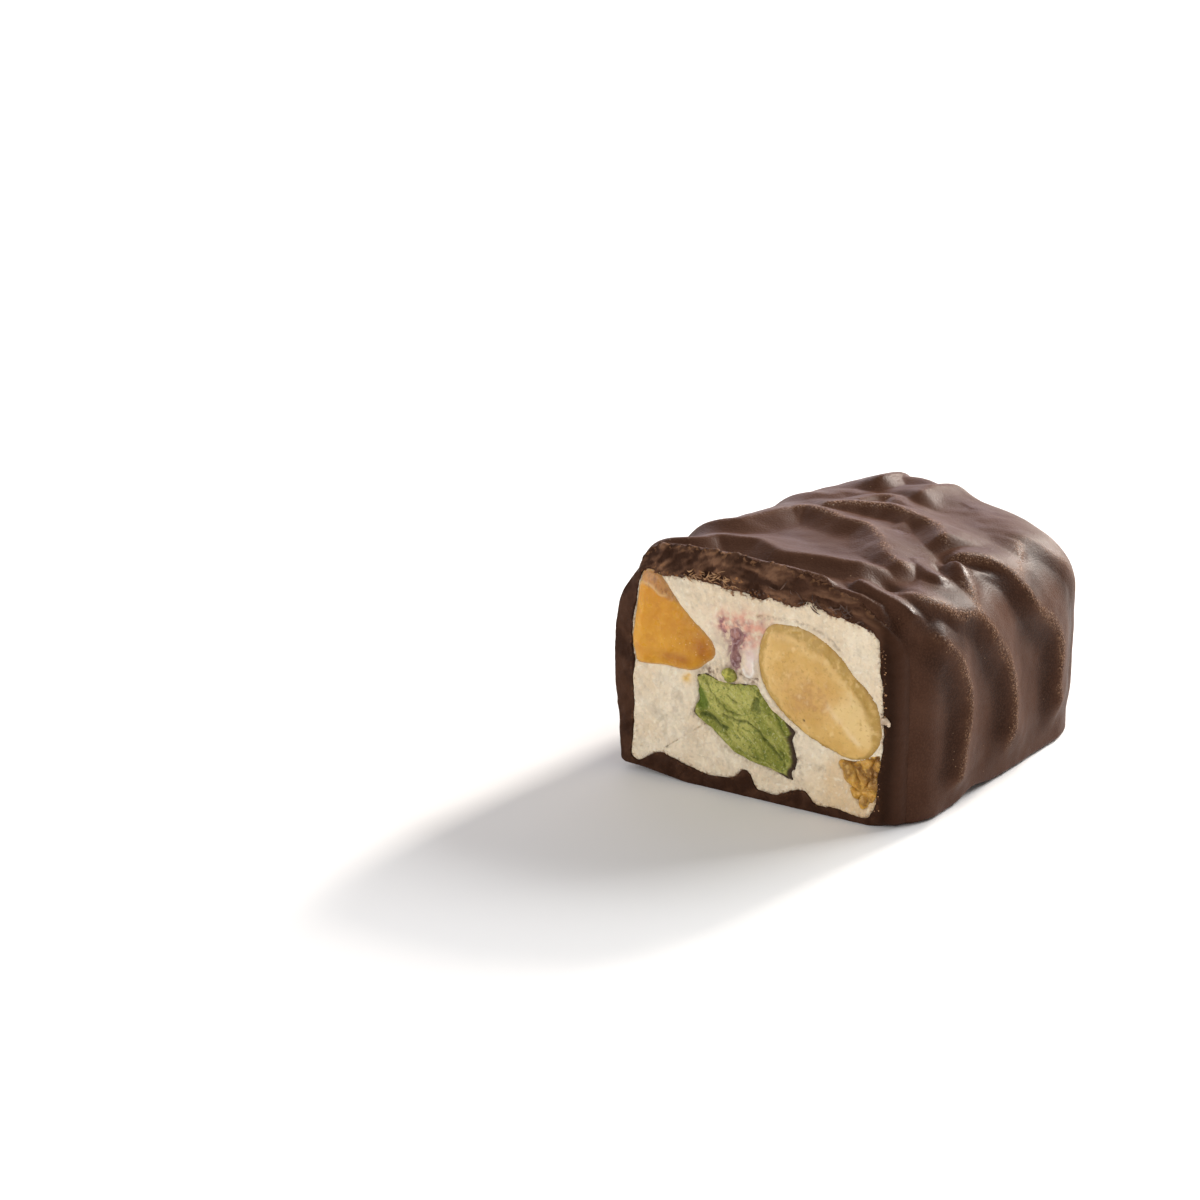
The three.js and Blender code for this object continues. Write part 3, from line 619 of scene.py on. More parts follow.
def make_coating():
    """The shell: its rippled outside, a band round the cut and the pocket that the nougat fills."""
    bm = grid_box(COATING_GRID)
    front = [face for face in bm.faces if all(vert.co.y < -0.9999 for vert in face.verts)]
    bmesh.ops.delete(bm, geom=front, context="FACES")
    row = bm.verts.layers.int.new("row")
    step = bm.verts.layers.int.new("step")
    rim = [edge for edge in bm.edges if edge.is_boundary]
    ordered = ring_order(rim)
    for i, vert in enumerate(ordered):
        vert[step] = i
    bmesh.ops.contextual_create(bm, geom=extrude_rows(bm, rim, POCKET_ROWS, row))
    bm.verts.ensure_lookup_table()
    box = np.array([vert.co[:] for vert in bm.verts])
    rows = np.array([vert[row] for vert in bm.verts])
    steps = np.array([vert[step] for vert in bm.verts])
    skin = rows == 0
    points = np.zeros_like(box)
    points[skin], on_skin = coating_points(box[skin])
    attributes = {label: np.zeros(len(box)) for label in on_skin}
    for label, values in on_skin.items():
        attributes[label][skin] = values
    chipped(points, skin)
    edge = points[[vert.index for vert in ordered]]
    pocket = along(closed_outline(NOUGAT), matching_turns(edge))
    for k in range(1, POCKET_ROWS + 1):
        at = rows == k
        points[at] = pocket_row(k, edge[steps[at]], pocket[steps[at]], pocket.mean(axis=0))
    mesh = finished_mesh(bm, "chocolate_shell", points, attributes)
    add_piece(mesh, "chocolate_shell", chocolate_skin(), "coating")
    return edge


def pocket_row(k, edge, pocket, middle):
    """One row of the pocket's points: the first is a band round the cut, the others go in behind it."""
    if k == 1:
        depth = SEAT + front_lean(edge[:, 0], edge[:, 2])
        flat = edge[:, [0, 2]] + (pocket - edge[:, [0, 2]]) * BAND_SHARE
    else:
        way = (k - 2) / (POCKET_ROWS - 2)
        depth = SEAT + (POCKET_END - SEAT) * math.sin(way * math.pi / 2)
        flat = middle + (pocket - middle) * max((1 - way**POCKET_BLUNT) ** 0.5, LEAST_SIZE)
    placed = on_face(flat[:, 0], flat[:, 1])
    placed[:, 1] += depth
    return placed


def chipped(points, skin):
    """Breaks the sharp front edge of the shell a little."""
    behind = points[:, 1] - CUT_Y - front_lean(points[:, 0], points[:, 2])
    near = skin & (behind < CHIP_DEPTH)
    share = 1 - np.clip(behind[near] / CHIP_DEPTH, 0, 1)
    normals = outward(points[near])
    normals[:, 1] = 0
    torn = smoothstep(points[near, 2], 20, 23)
    chips = 0.08 + 0.1 * torn + (0.03 + 0.32 * torn) * rough(points[near], 1.1, 11, 4)
    points[near] -= normals * (share * chips)[:, None]


def ring_order(edges):
    """The points of a closed ring of edges, in order, counterclockwise as seen from the cut."""
    following = {}
    for edge in edges:
        for vert, other in (edge.verts, reversed(edge.verts)):
            following.setdefault(vert, []).append(other)
    start = min(following, key=lambda vert: (abs(vert.co.z), -vert.co.x))
    order = [start]
    onward = max(following[start], key=lambda vert: vert.co.z)
    while onward is not start:
        order.append(onward)
        onward = next(vert for vert in following[onward] if vert is not order[-2])
    return order


def matching_turns(edge):
    """For points round the outer edge of the cut, the shares of a turn round the pocket beside them."""
    pocket = closed_outline(NOUGAT)
    angles = np.unwrap(np.arctan2(pocket[:, 1] - FACE_MIDDLE[1], pocket[:, 0] - FACE_MIDDLE[0]))
    stops = np.arange(len(pocket)) / len(pocket)
    wanted = np.arctan2(edge[:, 2] - FACE_MIDDLE[1], edge[:, 0] - FACE_MIDDLE[0])
    wanted = (wanted - angles[0]) % (2 * math.pi) + angles[0]
    order = np.argsort(angles)
    return np.interp(wanted, angles[order], stops[order])


def grown(line, distance):
    """A closed line, moved out by a distance."""
    tangent = np.roll(line, -1, axis=0) - np.roll(line, 1, axis=0)
    out = np.stack([tangent[:, 1], -tangent[:, 0]], axis=1)
    return line + distance * out / np.linalg.norm(out, axis=1, keepdims=True)


CUT_RING = {"steps": 760, "rows": 22, "inner_rows": 3, "inner_step": 0.35, "outer_step": 0.3}
# The torn top of the cut, and where it is golden, each as strength, middle and radius.
GOLDEN = [(1, (-6.6, 23.0), (3.4, 0.9)), (1, (-3.6, 22.9), (1.2, 1.3))]
GOLDEN_CORNER = [(0.8, (-13.6, 22.8), (1.8, 1.2))]


def make_cut_chocolate(edge):
    """The cut surface of the chocolate, from the outer edge to the nougat."""
    count = CUT_RING["steps"]
    bm = bmesh.new()
    row = bm.verts.layers.int.new("row")
    step = bm.verts.layers.int.new("step")
    ring = bmesh.ops.create_circle(bm, segments=count, radius=1, cap_ends=False)["verts"]
    for i, vert in enumerate(ring):
        vert[step] = i
    extrude_rows(bm, list(bm.edges), CUT_RING["rows"] + CUT_RING["inner_rows"], row)
    rows = np.array([vert[row] for vert in bm.verts])
    steps = np.array([vert[step] for vert in bm.verts])
    outline = edge[:, [0, 2]]
    outer = evenly_spaced(np.vstack([outline, outline[:1]]), count, endpoint=False)
    inner = along(closed_outline(NOUGAT), matching_turns(on_face(outer[:, 0], outer[:, 1])))
    inner = ragged_inner(inner, outer)
    share = np.clip((rows - 1) / (CUT_RING["rows"] - 1), 0, 1)
    flat = outer[steps] + (inner[steps] - outer[steps]) * share[:, None]
    x, z = flat.T
    points = on_face(x, z)
    height, attributes = cut_relief(x, z, share)
    points[:, 1] -= height
    points[:, 1] += front_lean(outer[steps, 0], outer[steps, 1]) * (1 - np.sqrt(1 - (1 - share) ** 2))
    points[rows == 0, 1] += CUT_RING["outer_step"]
    points[:, 1] += CUT_RING["inner_step"] * np.maximum(rows - CUT_RING["rows"], 0)
    mesh = finished_mesh(bm, "cut_chocolate", points, attributes)
    add_piece(mesh, "cut_chocolate", cut_chocolate_finish(), "coating")


def ragged_inner(inner, outer):
    """The cut chocolate's inner edge, torn a little, most of all along the top."""
    wander = rough(on_face(inner[:, 0], inner[:, 1]), 0.9, 21, 4)
    toward = outer - inner
    toward = toward / np.linalg.norm(toward, axis=1, keepdims=True)
    torn = 0.13 + 0.17 * smoothstep(inner[:, 1], 19, 21)
    return inner + toward * (torn * wander)[:, None]


def cut_relief(x, z, share):
    """The torn top band and the smoother sides of the cut chocolate."""
    places = on_face(x, z)
    top = smoothstep(z, 19.8, 22.2) * smoothstep(x, -16.5, -14) * (1 - smoothstep(x, 11, 14.5))
    drawn_out = np.stack([0.3 * x, places[:, 1], 1.2 * z + 0.15 * x], axis=1)
    twisted = np.stack([0.4 * x + 0.4 * z, places[:, 1], 1.1 * z - 0.9 * x], axis=1)
    leftward = 1 - smoothstep(x + rough(places, 3, 29, 2), -6, -1)
    flakes = leftward * rough(twisted, 1.1, 22, 5) + (1 - leftward) * rough(drawn_out, 0.8, 23, 5)
    shelf = smoothstep(rough(twisted, 1.9, 20, 4), -0.05, 0.12)
    torn = 0.2 * rough(places, 2.4, 24, 3) + 0.28 * flakes + 0.16 * shelf
    smooth = 0.14 * rough(places, 1.7, 25, 3) + 0.008 * rough(places, 0.5, 26, 2)
    right = smoothstep(x, 13.4, 14.4) * (1 - smoothstep(z, 18.5, 22))
    height = top * (torn - 0.1) + (1 - top) * smooth * (1 - 0.8 * right)
    crumbly = bell((1 - share) / 0.16) * (0.3 + 0.7 * top)
    height = height + crumbly * 0.16 * rough(places, 0.35, 27, 3)
    smeared = top * smoothstep(x + 0.8 * rough(places, 1.5, 28, 2), 0.5, 5)
    golden = np.clip(spots(x, z, GOLDEN), 0, 1)
    golden = np.clip(golden + spots(x, z, GOLDEN_CORNER), 0, 1) * top
    return height, {
        "top": top, "rim": crumbly, "outer": bell(share / 0.12), "rounded_side": right,
        "smeared": smeared, "golden": golden, "torn": flakes, "inner": share,
    }


# ---------------------------------------------------------------------------------------------------
# The filling


PLUG_ROWS = 10
LEAST_END = 0.04


def make_plug(name, node, line, form, relief, finish):
    """A closed piece that ends in a finely shaped face at the cut and goes into the bar behind it."""
    bm = bmesh.new()
    bmesh.ops.create_grid(bm, x_segments=form["squares"], y_segments=form["squares"], size=1)
    row = bm.verts.layers.int.new("row")
    rim = [edge for edge in bm.edges if edge.is_boundary]
    bmesh.ops.contextual_create(bm, geom=extrude_rows(bm, rim, PLUG_ROWS, row))
    u, v = np.array([vert.co[:2] for vert in bm.verts]).T
    way = np.array([vert[row] for vert in bm.verts]) / PLUG_ROWS
    out = np.maximum(np.abs(u), np.abs(v))
    middle = line.mean(axis=0)
    flat = middle + (along(line, square_turn(u, v, out)) - middle) * out[:, None]
    x, z = flat.T
    edge = np.maximum(inside(x, z, line[::4]), 0)
    height, attributes = relief(x, z, edge)
    size = np.maximum((1 - way ** form["blunt"]) ** 0.5, LEAST_END)
    flat = middle + (flat - middle) * size[:, None]
    points = on_face(flat[:, 0], flat[:, 1])
    points[:, 1] += form["depth"] * np.sin(way * math.pi / 2) - height
    mesh = finished_mesh(bm, name, points, attributes)
    add_piece(mesh, name, finish, node)


ON_BORDER = 0.9999999


def square_turn(u, v, out):
    """How far round, in turns from the right, points lie on the border of squares about the middle."""
    size = np.maximum(out, 1e-9)
    u = u / size
    v = v / size
    eighth = np.where(
        u >= np.maximum(np.abs(v), ON_BORDER),
        v,
        np.where(v >= ON_BORDER, 2 - u, np.where(u <= -ON_BORDER, 4 - v, 6 + u)),
    )
    return (eighth / 8) % 1.0


INCLUSIONS = {
    "almond": closed_outline(ALMOND),
    "pistachio": closed_outline(PISTACHIO),
    "candied_orange": closed_outline(ORANGE),
    "berry": closed_outline(BERRY),
    "brittle": closed_outline(BRITTLE),
    "pistachio_crumb": closed_outline(PISTACHIO_CRUMB),
}

# Marks on the nougat: lines, and spots given as strength, middle and radius. The raised edge above the
# pistachio gets a painted highlight, the line under it and the groove along the flap get painted shade, and
# the dark spots beside the pistachio are partly dirt and partly painted shade.
FLAP = [(-0.6, 19.9), (1.8, 20.1), (3.9, 20.1), (6.0, 19.8), (8.1, 18.9), (9.4, 17.7)]
LIP = [(-2.2, 14.0), (-1.9, 13.45), (-1.3, 13.35), (-0.9, 13.9), (-1.0, 14.9)]
UNDER_LIP = [(-2.7, 13.2), (-1.9, 12.95), (-1.1, 12.95), (-0.6, 13.2)]
BLUSH = [(1, (-2.2, 18.9), (3.0, 1.3)), (0.7, (-1.6, 17.4), (1.8, 1.6)), (0.6, (-5, 18.4), (0.9, 1.1))]
STAIN = [
    (1, (-3.1, 17.4), (1.4, 1.5)), (1, (-3.3, 14.8), (0.9, 1.6)), (0.9, (-5.0, 18.5), (0.5, 0.8)),
    (0.6, (-0.1, 19.3), (0.4, 0.4)), (0.6, (-4.4, 17.4), (0.6, 0.35)), (0.4, (-1.7, 18.9), (0.6, 0.35)),
]
GRIME_AND_SHADE = [
    (1, (-6.3, 13.2), (1.3, 0.6)), (0.6, (-2.2, 13.3), (1.5, 0.35)), (0.5, (-4.4, 14.0), (1.1, 0.8)),
    (0.5, (4.6, 8.1), (0.5, 0.6)), (0.4, (4.7, 4.5), (0.4, 1.6)),
]
FLECK = [(1, (-9.2, 11.6), (0.5, 0.4)), (0.7, (-8.9, 12.1), (0.3, 0.2))]


def nougat_relief(x, z, edge):
    """Aerated nougat, cut: soft lumps, small torn pores, sunk under the fruit and nuts."""
    places = on_face(x, z)
    ragged = rough(places, 0.9, 36, 3)
    middle = cells(places, 1.5, 33)[0]
    pores = bell(middle / 0.24) * smoothstep(rough(places, 2.2, 34, 2), 0.15, 0.4)
    slanted = np.stack([0.5 * (x - z), places[:, 1], 1.1 * (x + z)], axis=1)
    brush = rough(slanted, 1.3, 37, 4)
    sunk = np.zeros_like(x)
    crevice = np.zeros_like(x)
    for outline in INCLUSIONS.values():
        depth = inside(x, z, outline[::6])
        sunk = np.maximum(sunk, smoothstep(depth, 0.05, 0.5))
        crevice = np.maximum(crevice, bell((depth + 0.06) / 0.15))
    groove = streak(x, z, FLAP, 0.2) * (0.6 + 0.4 * rough(places, 1.2, 35, 2))
    dimple = spot(x, z, (7.3, 5.0), (0.5, 0.35))
    # The raised edge above the pistachio, painted with a near-white highlight, and the line under it, sunk
    # and painted with shadow.
    lip_highlight = streak(x, z, LIP, 0.18)
    shadow_under_lip = streak(x, z, UNDER_LIP, 0.16)
    height = 0.17 * rough(places, 2.6, 31, 3) + 0.07 * rough(places, 0.6, 32, 4) + 0.04 * brush
    height = height - 0.14 * pores - 0.22 * bell(edge / 0.2) - 0.06 * crevice
    height = height - 1.1 * sunk - 0.28 * groove - 0.25 * dimple + 0.2 * lip_highlight - 0.25 * shadow_under_lip
    blush = np.clip(spots(x, z, BLUSH) * (1.2 + 0.9 * ragged), 0, 1)
    milky = np.clip(spot(x, z, (-1.4, 15.3), (0.75, 2.0)) * (1.2 + 0.6 * ragged), 0, 1)
    stain = np.clip(spots(x, z, STAIN) * (1 + 1.1 * ragged), 0, 1)
    # Darkening that is partly stains and smears and partly painted shade: under the raised edge, in the
    # dimple, in the groove along the flap and beside the pistachio.
    grime_and_shade = spots(x, z, GRIME_AND_SHADE) + 0.9 * shadow_under_lip + 0.6 * dimple + 0.85 * groove
    grime_and_shade = grime_and_shade + 0.4 * bell(inside(x, z, INCLUSIONS["pistachio"][::6]) / 0.3)
    grime_and_shade = grime_and_shade + 0.3 * bell(edge / 0.35) * smoothstep(-z, -8, -2)
    warm = smoothstep(x - 0.6 * z, 1, 9) * smoothstep(-z, -8, -4) + spot(x, z, (9.0, 5.0), (1.3, 1.8))
    grey = smoothstep(brush + 0.3 * ragged, 0, 0.5) * (1 - 0.5 * smoothstep(x, -2, 3))
    return height, {
        "blush": blush, "stain": stain, "grime_and_shade": np.clip(grime_and_shade * (1 + 0.7 * ragged), 0, 1), "pore_shade": pores,
        "rim": bell(edge / 0.4), "fleck": np.clip(spots(x, z, FLECK), 0, 1), "warm": np.clip(warm, 0, 1),
        "lip_highlight": lip_highlight, "milky": milky, "grey": grey,
    }


ALMOND_MIDDLE = (6.9, 13.2)
FACET = [
    (8.2, 11.8), (9.2, 12.9), (10.6, 13.5), (12.2, 13.1), (13.3, 11.8), (13.7, 10), (13.1, 8.5),
    (12.2, 8.0), (11.3, 8.8), (10.3, 9.6), (9.1, 10.7),
]
FACET_CREASE = [(8.3, 12.0), (9.2, 11.0), (10.6, 9.8), (11.7, 8.8)]


def almond_relief(x, z, edge):
    """A blanched kernel: a smooth dome, deeper yellow along its rim, partly as painted shade where the dome
    turns away, paler on a facet low on the right.
    """
    places = on_face(x, z)
    stray = rough(places, 1.3, 43, 4)
    ahead = np.arctan2(z - ALMOND_MIDDLE[1], x - ALMOND_MIDDLE[0])
    upper_right = smoothstep(np.cos(ahead - 0.75), -0.2, 0.6)
    left = smoothstep(np.cos(ahead - 2.8), 0.2, 0.9)
    band_width = 0.3 + 0.95 * upper_right + 0.5 * left
    band = 1 - smoothstep(edge + 0.3 * stray, 0.7 * band_width, 1.2 * band_width)
    edge_highlight = bell((edge + 0.3 * stray - 1.35 * band_width) / 0.3) * smoothstep(band_width, 0.4, 0.9)
    facet = smoothstep(inside(x, z, closed_outline(FACET)[::6]) + 0.35 * stray, -0.6, 1.1)
    crease_highlight = streak(x, z, FACET_CREASE, 0.35) * (0.6 + 0.9 * stray)
    height = 0.55 * smoothstep(edge, 0, 2.8) - 0.12 * bell(edge / 0.2)
    height = height + 0.15 * facet + 0.04 * crease_highlight + 0.08 * band * rough(places, 0.7, 44, 3) - 0.06 * band
    height = height + 0.05 * rough(places, 1.8, 41, 3) + 0.012 * rough(places, 0.35, 42, 3)
    warm = spot(x, z, (5.6, 12.6), (3.0, 2.3)) * (1 - facet) + 0.7 * spot(x, z, (8.1, 12.8), (1.3, 0.8))
    warm = np.clip(warm * 1.1 * (1 + stray), 0, 1)
    speck = bell(np.hypot(x - 5.2, z - 9.95) / 0.13)
    return height - 0.1 * speck, {
        "band": band, "facet": facet, "warm": warm, "speck": speck,
        "crease_highlight": np.clip(crease_highlight, 0, 1), "rim": bell((edge + 0.15 * stray) / 0.3), "edge_highlight": edge_highlight,
    }


PISTACHIO_CRACKS = [
    (0.30, [(-7.1, 8.15), (-6.2, 8.2), (-5.5, 7.9), (-4.9, 7.4), (-4.2, 7.2)]),
    (0.16, [(-4.4, 8.6), (-3.0, 8.3), (-1.6, 8.35), (-0.5, 7.75), (0.4, 6.9), (1.4, 6.1), (2.6, 5.1)]),
    (0.12, [(-6.6, 11.9), (-5.9, 10.8), (-5.0, 9.8), (-3.8, 9.0), (-2.4, 8.9)]),
    (0.10, [(1.3, 10.0), (2.1, 9.2), (2.6, 8.2), (3.3, 7.6)]),
    (0.12, [(-4.0, 10.9), (-3.4, 10.4), (-2.9, 10.2)]),
    (0.10, [(2.4, 6.0), (2.9, 5.2), (3.0, 4.4)]),
    (0.08, [(-2.8, 5.2), (-1.0, 4.8), (1.0, 4.4), (2.2, 4.0)]),
]
PIT = [(-1.15, 9.7), (-1.0, 10.7), (-0.7, 11.3), (-0.35, 11.3), (-0.2, 10.5), (0.15, 9.8), (-0.5, 9.6)]
HOLLOW = [(-7.9, 11.2), (-7.2, 11.0), (-6.5, 9.9), (-6.4, 9.1), (-7.4, 8.7), (-8.1, 9.3)]
RIDGE_SLOPE = math.radians(-36)


def pistachio_relief(x, z, edge):
    """A broken kernel: long ridges and cracks from upper left to lower right, and a dark skin."""
    far = x * math.cos(RIDGE_SLOPE) + z * math.sin(RIDGE_SLOPE)
    up = -x * math.sin(RIDGE_SLOPE) + z * math.cos(RIDGE_SLOPE)
    stretched = np.stack([far / 3.2, np.full_like(x, 3.0), up], axis=1)
    ridges = rough(stretched, 0.9, 51, 4)
    fine = rough(stretched, 0.28, 52, 3)
    places = on_face(x, z)
    strayed_x = x + 0.12 * rough(places, 0.6, 53, 2)
    strayed_z = z + 0.12 * rough(places, 0.6, 54, 2)
    crack = np.zeros_like(x)
    for width, path in PISTACHIO_CRACKS:
        crack = np.maximum(crack, streak(strayed_x, strayed_z, path, width) * min(width / 0.2, 1))
    torn = 0.16 * rough(places, 0.4, 55, 3)
    pit = smoothstep(inside(x, z, closed_outline(PIT)[::8]) + torn, -0.1, 0.25)
    hollow = smoothstep(inside(x, z, closed_outline(HOLLOW)[::8]), -0.3, 0.3)
    right = smoothstep(x, 1.2, 3.4) * smoothstep(-z, -9.6, -8)
    skin_width = 0.12 + 0.55 * right + 0.4 * bell(np.hypot(x + 8.2, z - 8.1) / 0.8)
    skin = 1 - smoothstep(edge + 0.15 * rough(places, 0.9, 56, 3), skin_width * 0.5, skin_width * 1.2)
    height = 0.18 * smoothstep(edge, 0, 0.8) - 0.2 * bell(edge / 0.2)
    height = height + 0.23 * ridges + 0.07 * fine - 0.28 * crack - 0.25 * pit - 0.14 * hollow - 0.05 * skin
    strip = bell((edge - 0.7) / 0.5) * smoothstep(-(z + 0.3 * x), -4.6, -3.4)
    # Painted highlight: a brighter, paler patch over the middle of the kernel.
    pale = spot(x, z, (-3.8, 10.6), (3.4, 1.8)) + 0.9 * spot(x, z, (-2.2, 7.6), (2.2, 1.3))
    pale = np.clip(pale * (1.25 + 1.2 * ridges), 0, 1)
    return height, {
        "crack": crack, "pit": pit, "hollow": hollow, "skin": skin, "ridge": ridges, "strip": strip,
        "pale": pale,
    }


# Marks on the orange: the line across its corner, and spots given as strength, middle and radius.
MEMBRANE = [(-15.3, 20.9), (-14.4, 21.3), (-13.2, 21.0), (-12.3, 20.3), (-11.6, 20.3)]
SYRUP = [(1, (-10.6, 13.6), (1.9, 0.7)), (0.9, (-6.9, 15.2), (1.5, 1.4)), (0.35, (-9.3, 16.6), (1.8, 1.6))]
SUGAR = [(1, (-6.9, 15.6), (1.6, 1.8)), (1, (-9.6, 15.4), (2.2, 0.8))]


def orange_relief(x, z, edge):
    """Candied fruit: a smooth wet wedge, fibrous above the line across its upper corner."""
    places = on_face(x, z)
    stray = rough(places, 1.4, 66, 3)
    membrane = streak(x, z, MEMBRANE, 0.16)
    height = 0.3 * smoothstep(edge, 0, 1.3) - 0.22 * bell(edge / 0.22) + 0.08 * membrane
    height = height + 0.08 * rough(places, 2.2, 61, 3) + 0.012 * rough(places, 0.4, 62, 3)
    height = height + 0.06 * spot(x, z, (-10.6, 13.7), (1.6, 0.5))
    above = smoothstep((z - 20.7) + 0.35 * (x + 13.5) + 0.2 * stray, -0.2, 0.4)
    syrup = np.clip(spots(x, z, SYRUP) * (1 + 0.5 * stray), 0, 1)
    fibres = above * smoothstep(rough(np.stack([x * 2.2, places[:, 1], z], axis=1), 0.7, 63, 3), 0.1, 0.5)
    flecks = bell(cells(places, 1.3, 64)[0] / 0.13) * smoothstep(rough(places, 2.0, 65, 1), 0.05, 0.25)
    sugar = spots(x, z, SUGAR) + bell((edge - 0.2) / 0.25) * smoothstep(x, -12, -9)
    return height, {
        "above": above, "syrup": syrup, "fibres": fibres, "flecks": flecks, "rim": bell(edge / 0.3),
        "membrane": membrane, "sugar": np.clip(sugar, 0, 1),
    }


def brittle_relief(x, z, edge):
    """Caramel crumbs pressed together, with gaps between them, sunk and painted dark as shade."""
    places = on_face(x, z)
    strayed = places + 0.3 * np.stack([rough(places, 1.1, seed, 2) for seed in (71, 72, 73)], axis=1)
    border = cells(strayed, 2.3, 78)[1]
    open_gap = smoothstep(rough(places, 2.0, 77, 2), -0.3, 0.2)
    gap = (1 - smoothstep(border, 0.05, 0.4)) * (0.3 + 0.7 * open_gap)
    lump = 0.55 * np.sqrt(np.clip(border / 1.1, 0, 1)) - 0.25
    height = lump - 0.15 * bell(edge / 0.25) + 0.1 * rough(places, 0.7, 75, 4) - 0.12 * gap
    tone = rough(strayed, 1.3, 76, 2)
    pale = spot(x, z, (9.9, 5.7), (1.3, 1.1)) + 0.4 * spot(x, z, (12.4, 6.8), (1.6, 0.6))
    bright = spot(x, z, (11.8, 3.7), (1.4, 1.5))
    return height, {"gap": gap, "tone": tone, "pale": pale, "bright": bright}


def berry_relief(x, z, edge):
    """A shred of dried berry, smeared into the nougat."""
    places = on_face(x, z)
    height = 0.02 - 0.1 * bell(edge / 0.15) + 0.12 * rough(places, 0.7, 81, 3)
    depth = 1 - smoothstep(z, 14.2, 17.6)
    rim = bell(edge / 0.28) * (0.7 + 0.8 * rough(places, 0.5, 83, 3))
    return height, {"tone": rough(places, 0.8, 82, 3), "rim": np.clip(rim, 0, 1), "depth": depth}


def crumb_relief(x, z, edge):
    """A small pistachio crumb that stands out of the cut."""
    places = on_face(x, z)
    height = 0.36 * smoothstep(edge, -0.1, 0.6) + 0.3 * rough(places, 0.7, 91, 3)
    return height, {"tone": rough(places, 0.5, 92, 3), "rim": bell(edge / 0.2)}


# ---------------------------------------------------------------------------------------------------
# Finishes


class Finish:
    """A procedural material, painted in layers. Sizes are in millimetres."""

    def __init__(self, name, **sockets):
        self.material = bpy.data.materials.new(name)
        self.material.use_nodes = True
        self.tree = self.material.node_tree
        self.shader = self.tree.nodes["Principled BSDF"]
        self.place = self.node("ShaderNodeTexCoord").outputs["Object"]
        self.colour = None
        self.normal = None
        for socket, value in sockets.items():
            title = socket.replace("_", " ").title().replace("Ior", "IOR")
            self.shader.inputs[title].default_value = value

    def node(self, kind, inputs=(), **settings):
        """A node with the given settings, and with values or links for its named inputs."""
        made = self.tree.nodes.new(kind)
        for key, value in settings.items():
            setattr(made, key, value)
        for key, value in dict(inputs).items():
            self.feed(made.inputs[key], value)
        return made

    def feed(self, socket, value):
        """Links an output to a socket, or sets a plain value on it."""
        if isinstance(value, bpy.types.NodeSocket):
            self.tree.links.new(value, socket)
        elif socket.type == "RGBA":
            socket.default_value = (*value, 1)
        else:
            socket.default_value = value

    def value(self, attribute):
        """A named value carried by the mesh's points."""
        return self.node("ShaderNodeAttribute", attribute_name=attribute).outputs["Fac"]

    def mottle(self, size, detail=4, low=0.35, high=0.65):
        """Soft random patches of about the given size, from 0 to 1."""
        inputs = {"Vector": self.place, "Scale": 1 / (size * MM), "Detail": detail}
        return self.ramp(self.node("ShaderNodeTexNoise", inputs).outputs[0], low, high)

    def beads(self, size, edge, core):
        """Small round spots on a random grid of about the given spacing, 1 in each spot's middle."""
        source = self.node("ShaderNodeTexVoronoi", {"Vector": self.place, "Scale": 1 / (size * MM)})
        return self.ramp(source.outputs["Distance"], edge, core)

    def ramp(self, value, low, high):
        """0 up to low, 1 from high."""
        inputs = {"Value": value, "From Min": low, "From Max": high}
        return self.node("ShaderNodeMapRange", inputs, interpolation_type="SMOOTHSTEP").outputs[0]

    def between(self, share, low, high):
        """A plain value that slides from low to high with the share."""
        return self.node("ShaderNodeMapRange", {"Value": share, "To Min": low, "To Max": high}).outputs[0]

    def combine(self, kind, first, second):
        """Two values joined by ADD, MAXIMUM or another plain operation."""
        return self.node("ShaderNodeMath", {0: first, 1: second}, operation=kind).outputs[0]

    def times(self, share, *others):
        """The product of several values."""
        for other in others:
            share = self.combine("MULTIPLY", share, other)
        return share

    def mix(self, share, start, end):
        """A colour between two."""
        made = self.node("ShaderNodeMix", data_type="RGBA")
        self.feed(made.inputs[0], share)
        self.feed(made.inputs[6], start)
        self.feed(made.inputs[7], end)
        return made.outputs[2]

    def base(self, share, start, end):
        """Starts the finish with a colour between two."""
        self.colour = self.mix(share, start, end)

    def paint(self, colour, *shares):
        """Lays a colour over what is there, as thick as the product of the shares."""
        self.colour = self.mix(self.times(*shares), self.colour, colour)

    def relief(self, height, depth):
        """Adds a fine relief of the given depth."""
        inputs = {"Height": height, "Distance": depth * MM, "Strength": 1.0}
        if self.normal:
            inputs["Normal"] = self.normal
        self.normal = self.node("ShaderNodeBump", inputs).outputs[0]

    def done(self, roughness=None):
        """Gives the material, with its colour, relief and roughness set."""
        self.feed(self.shader.inputs["Base Color"], self.colour)
        if roughness is not None:
            self.feed(self.shader.inputs["Roughness"], roughness)
        if self.normal:
            self.feed(self.shader.inputs["Normal"], self.normal)
        return self.material


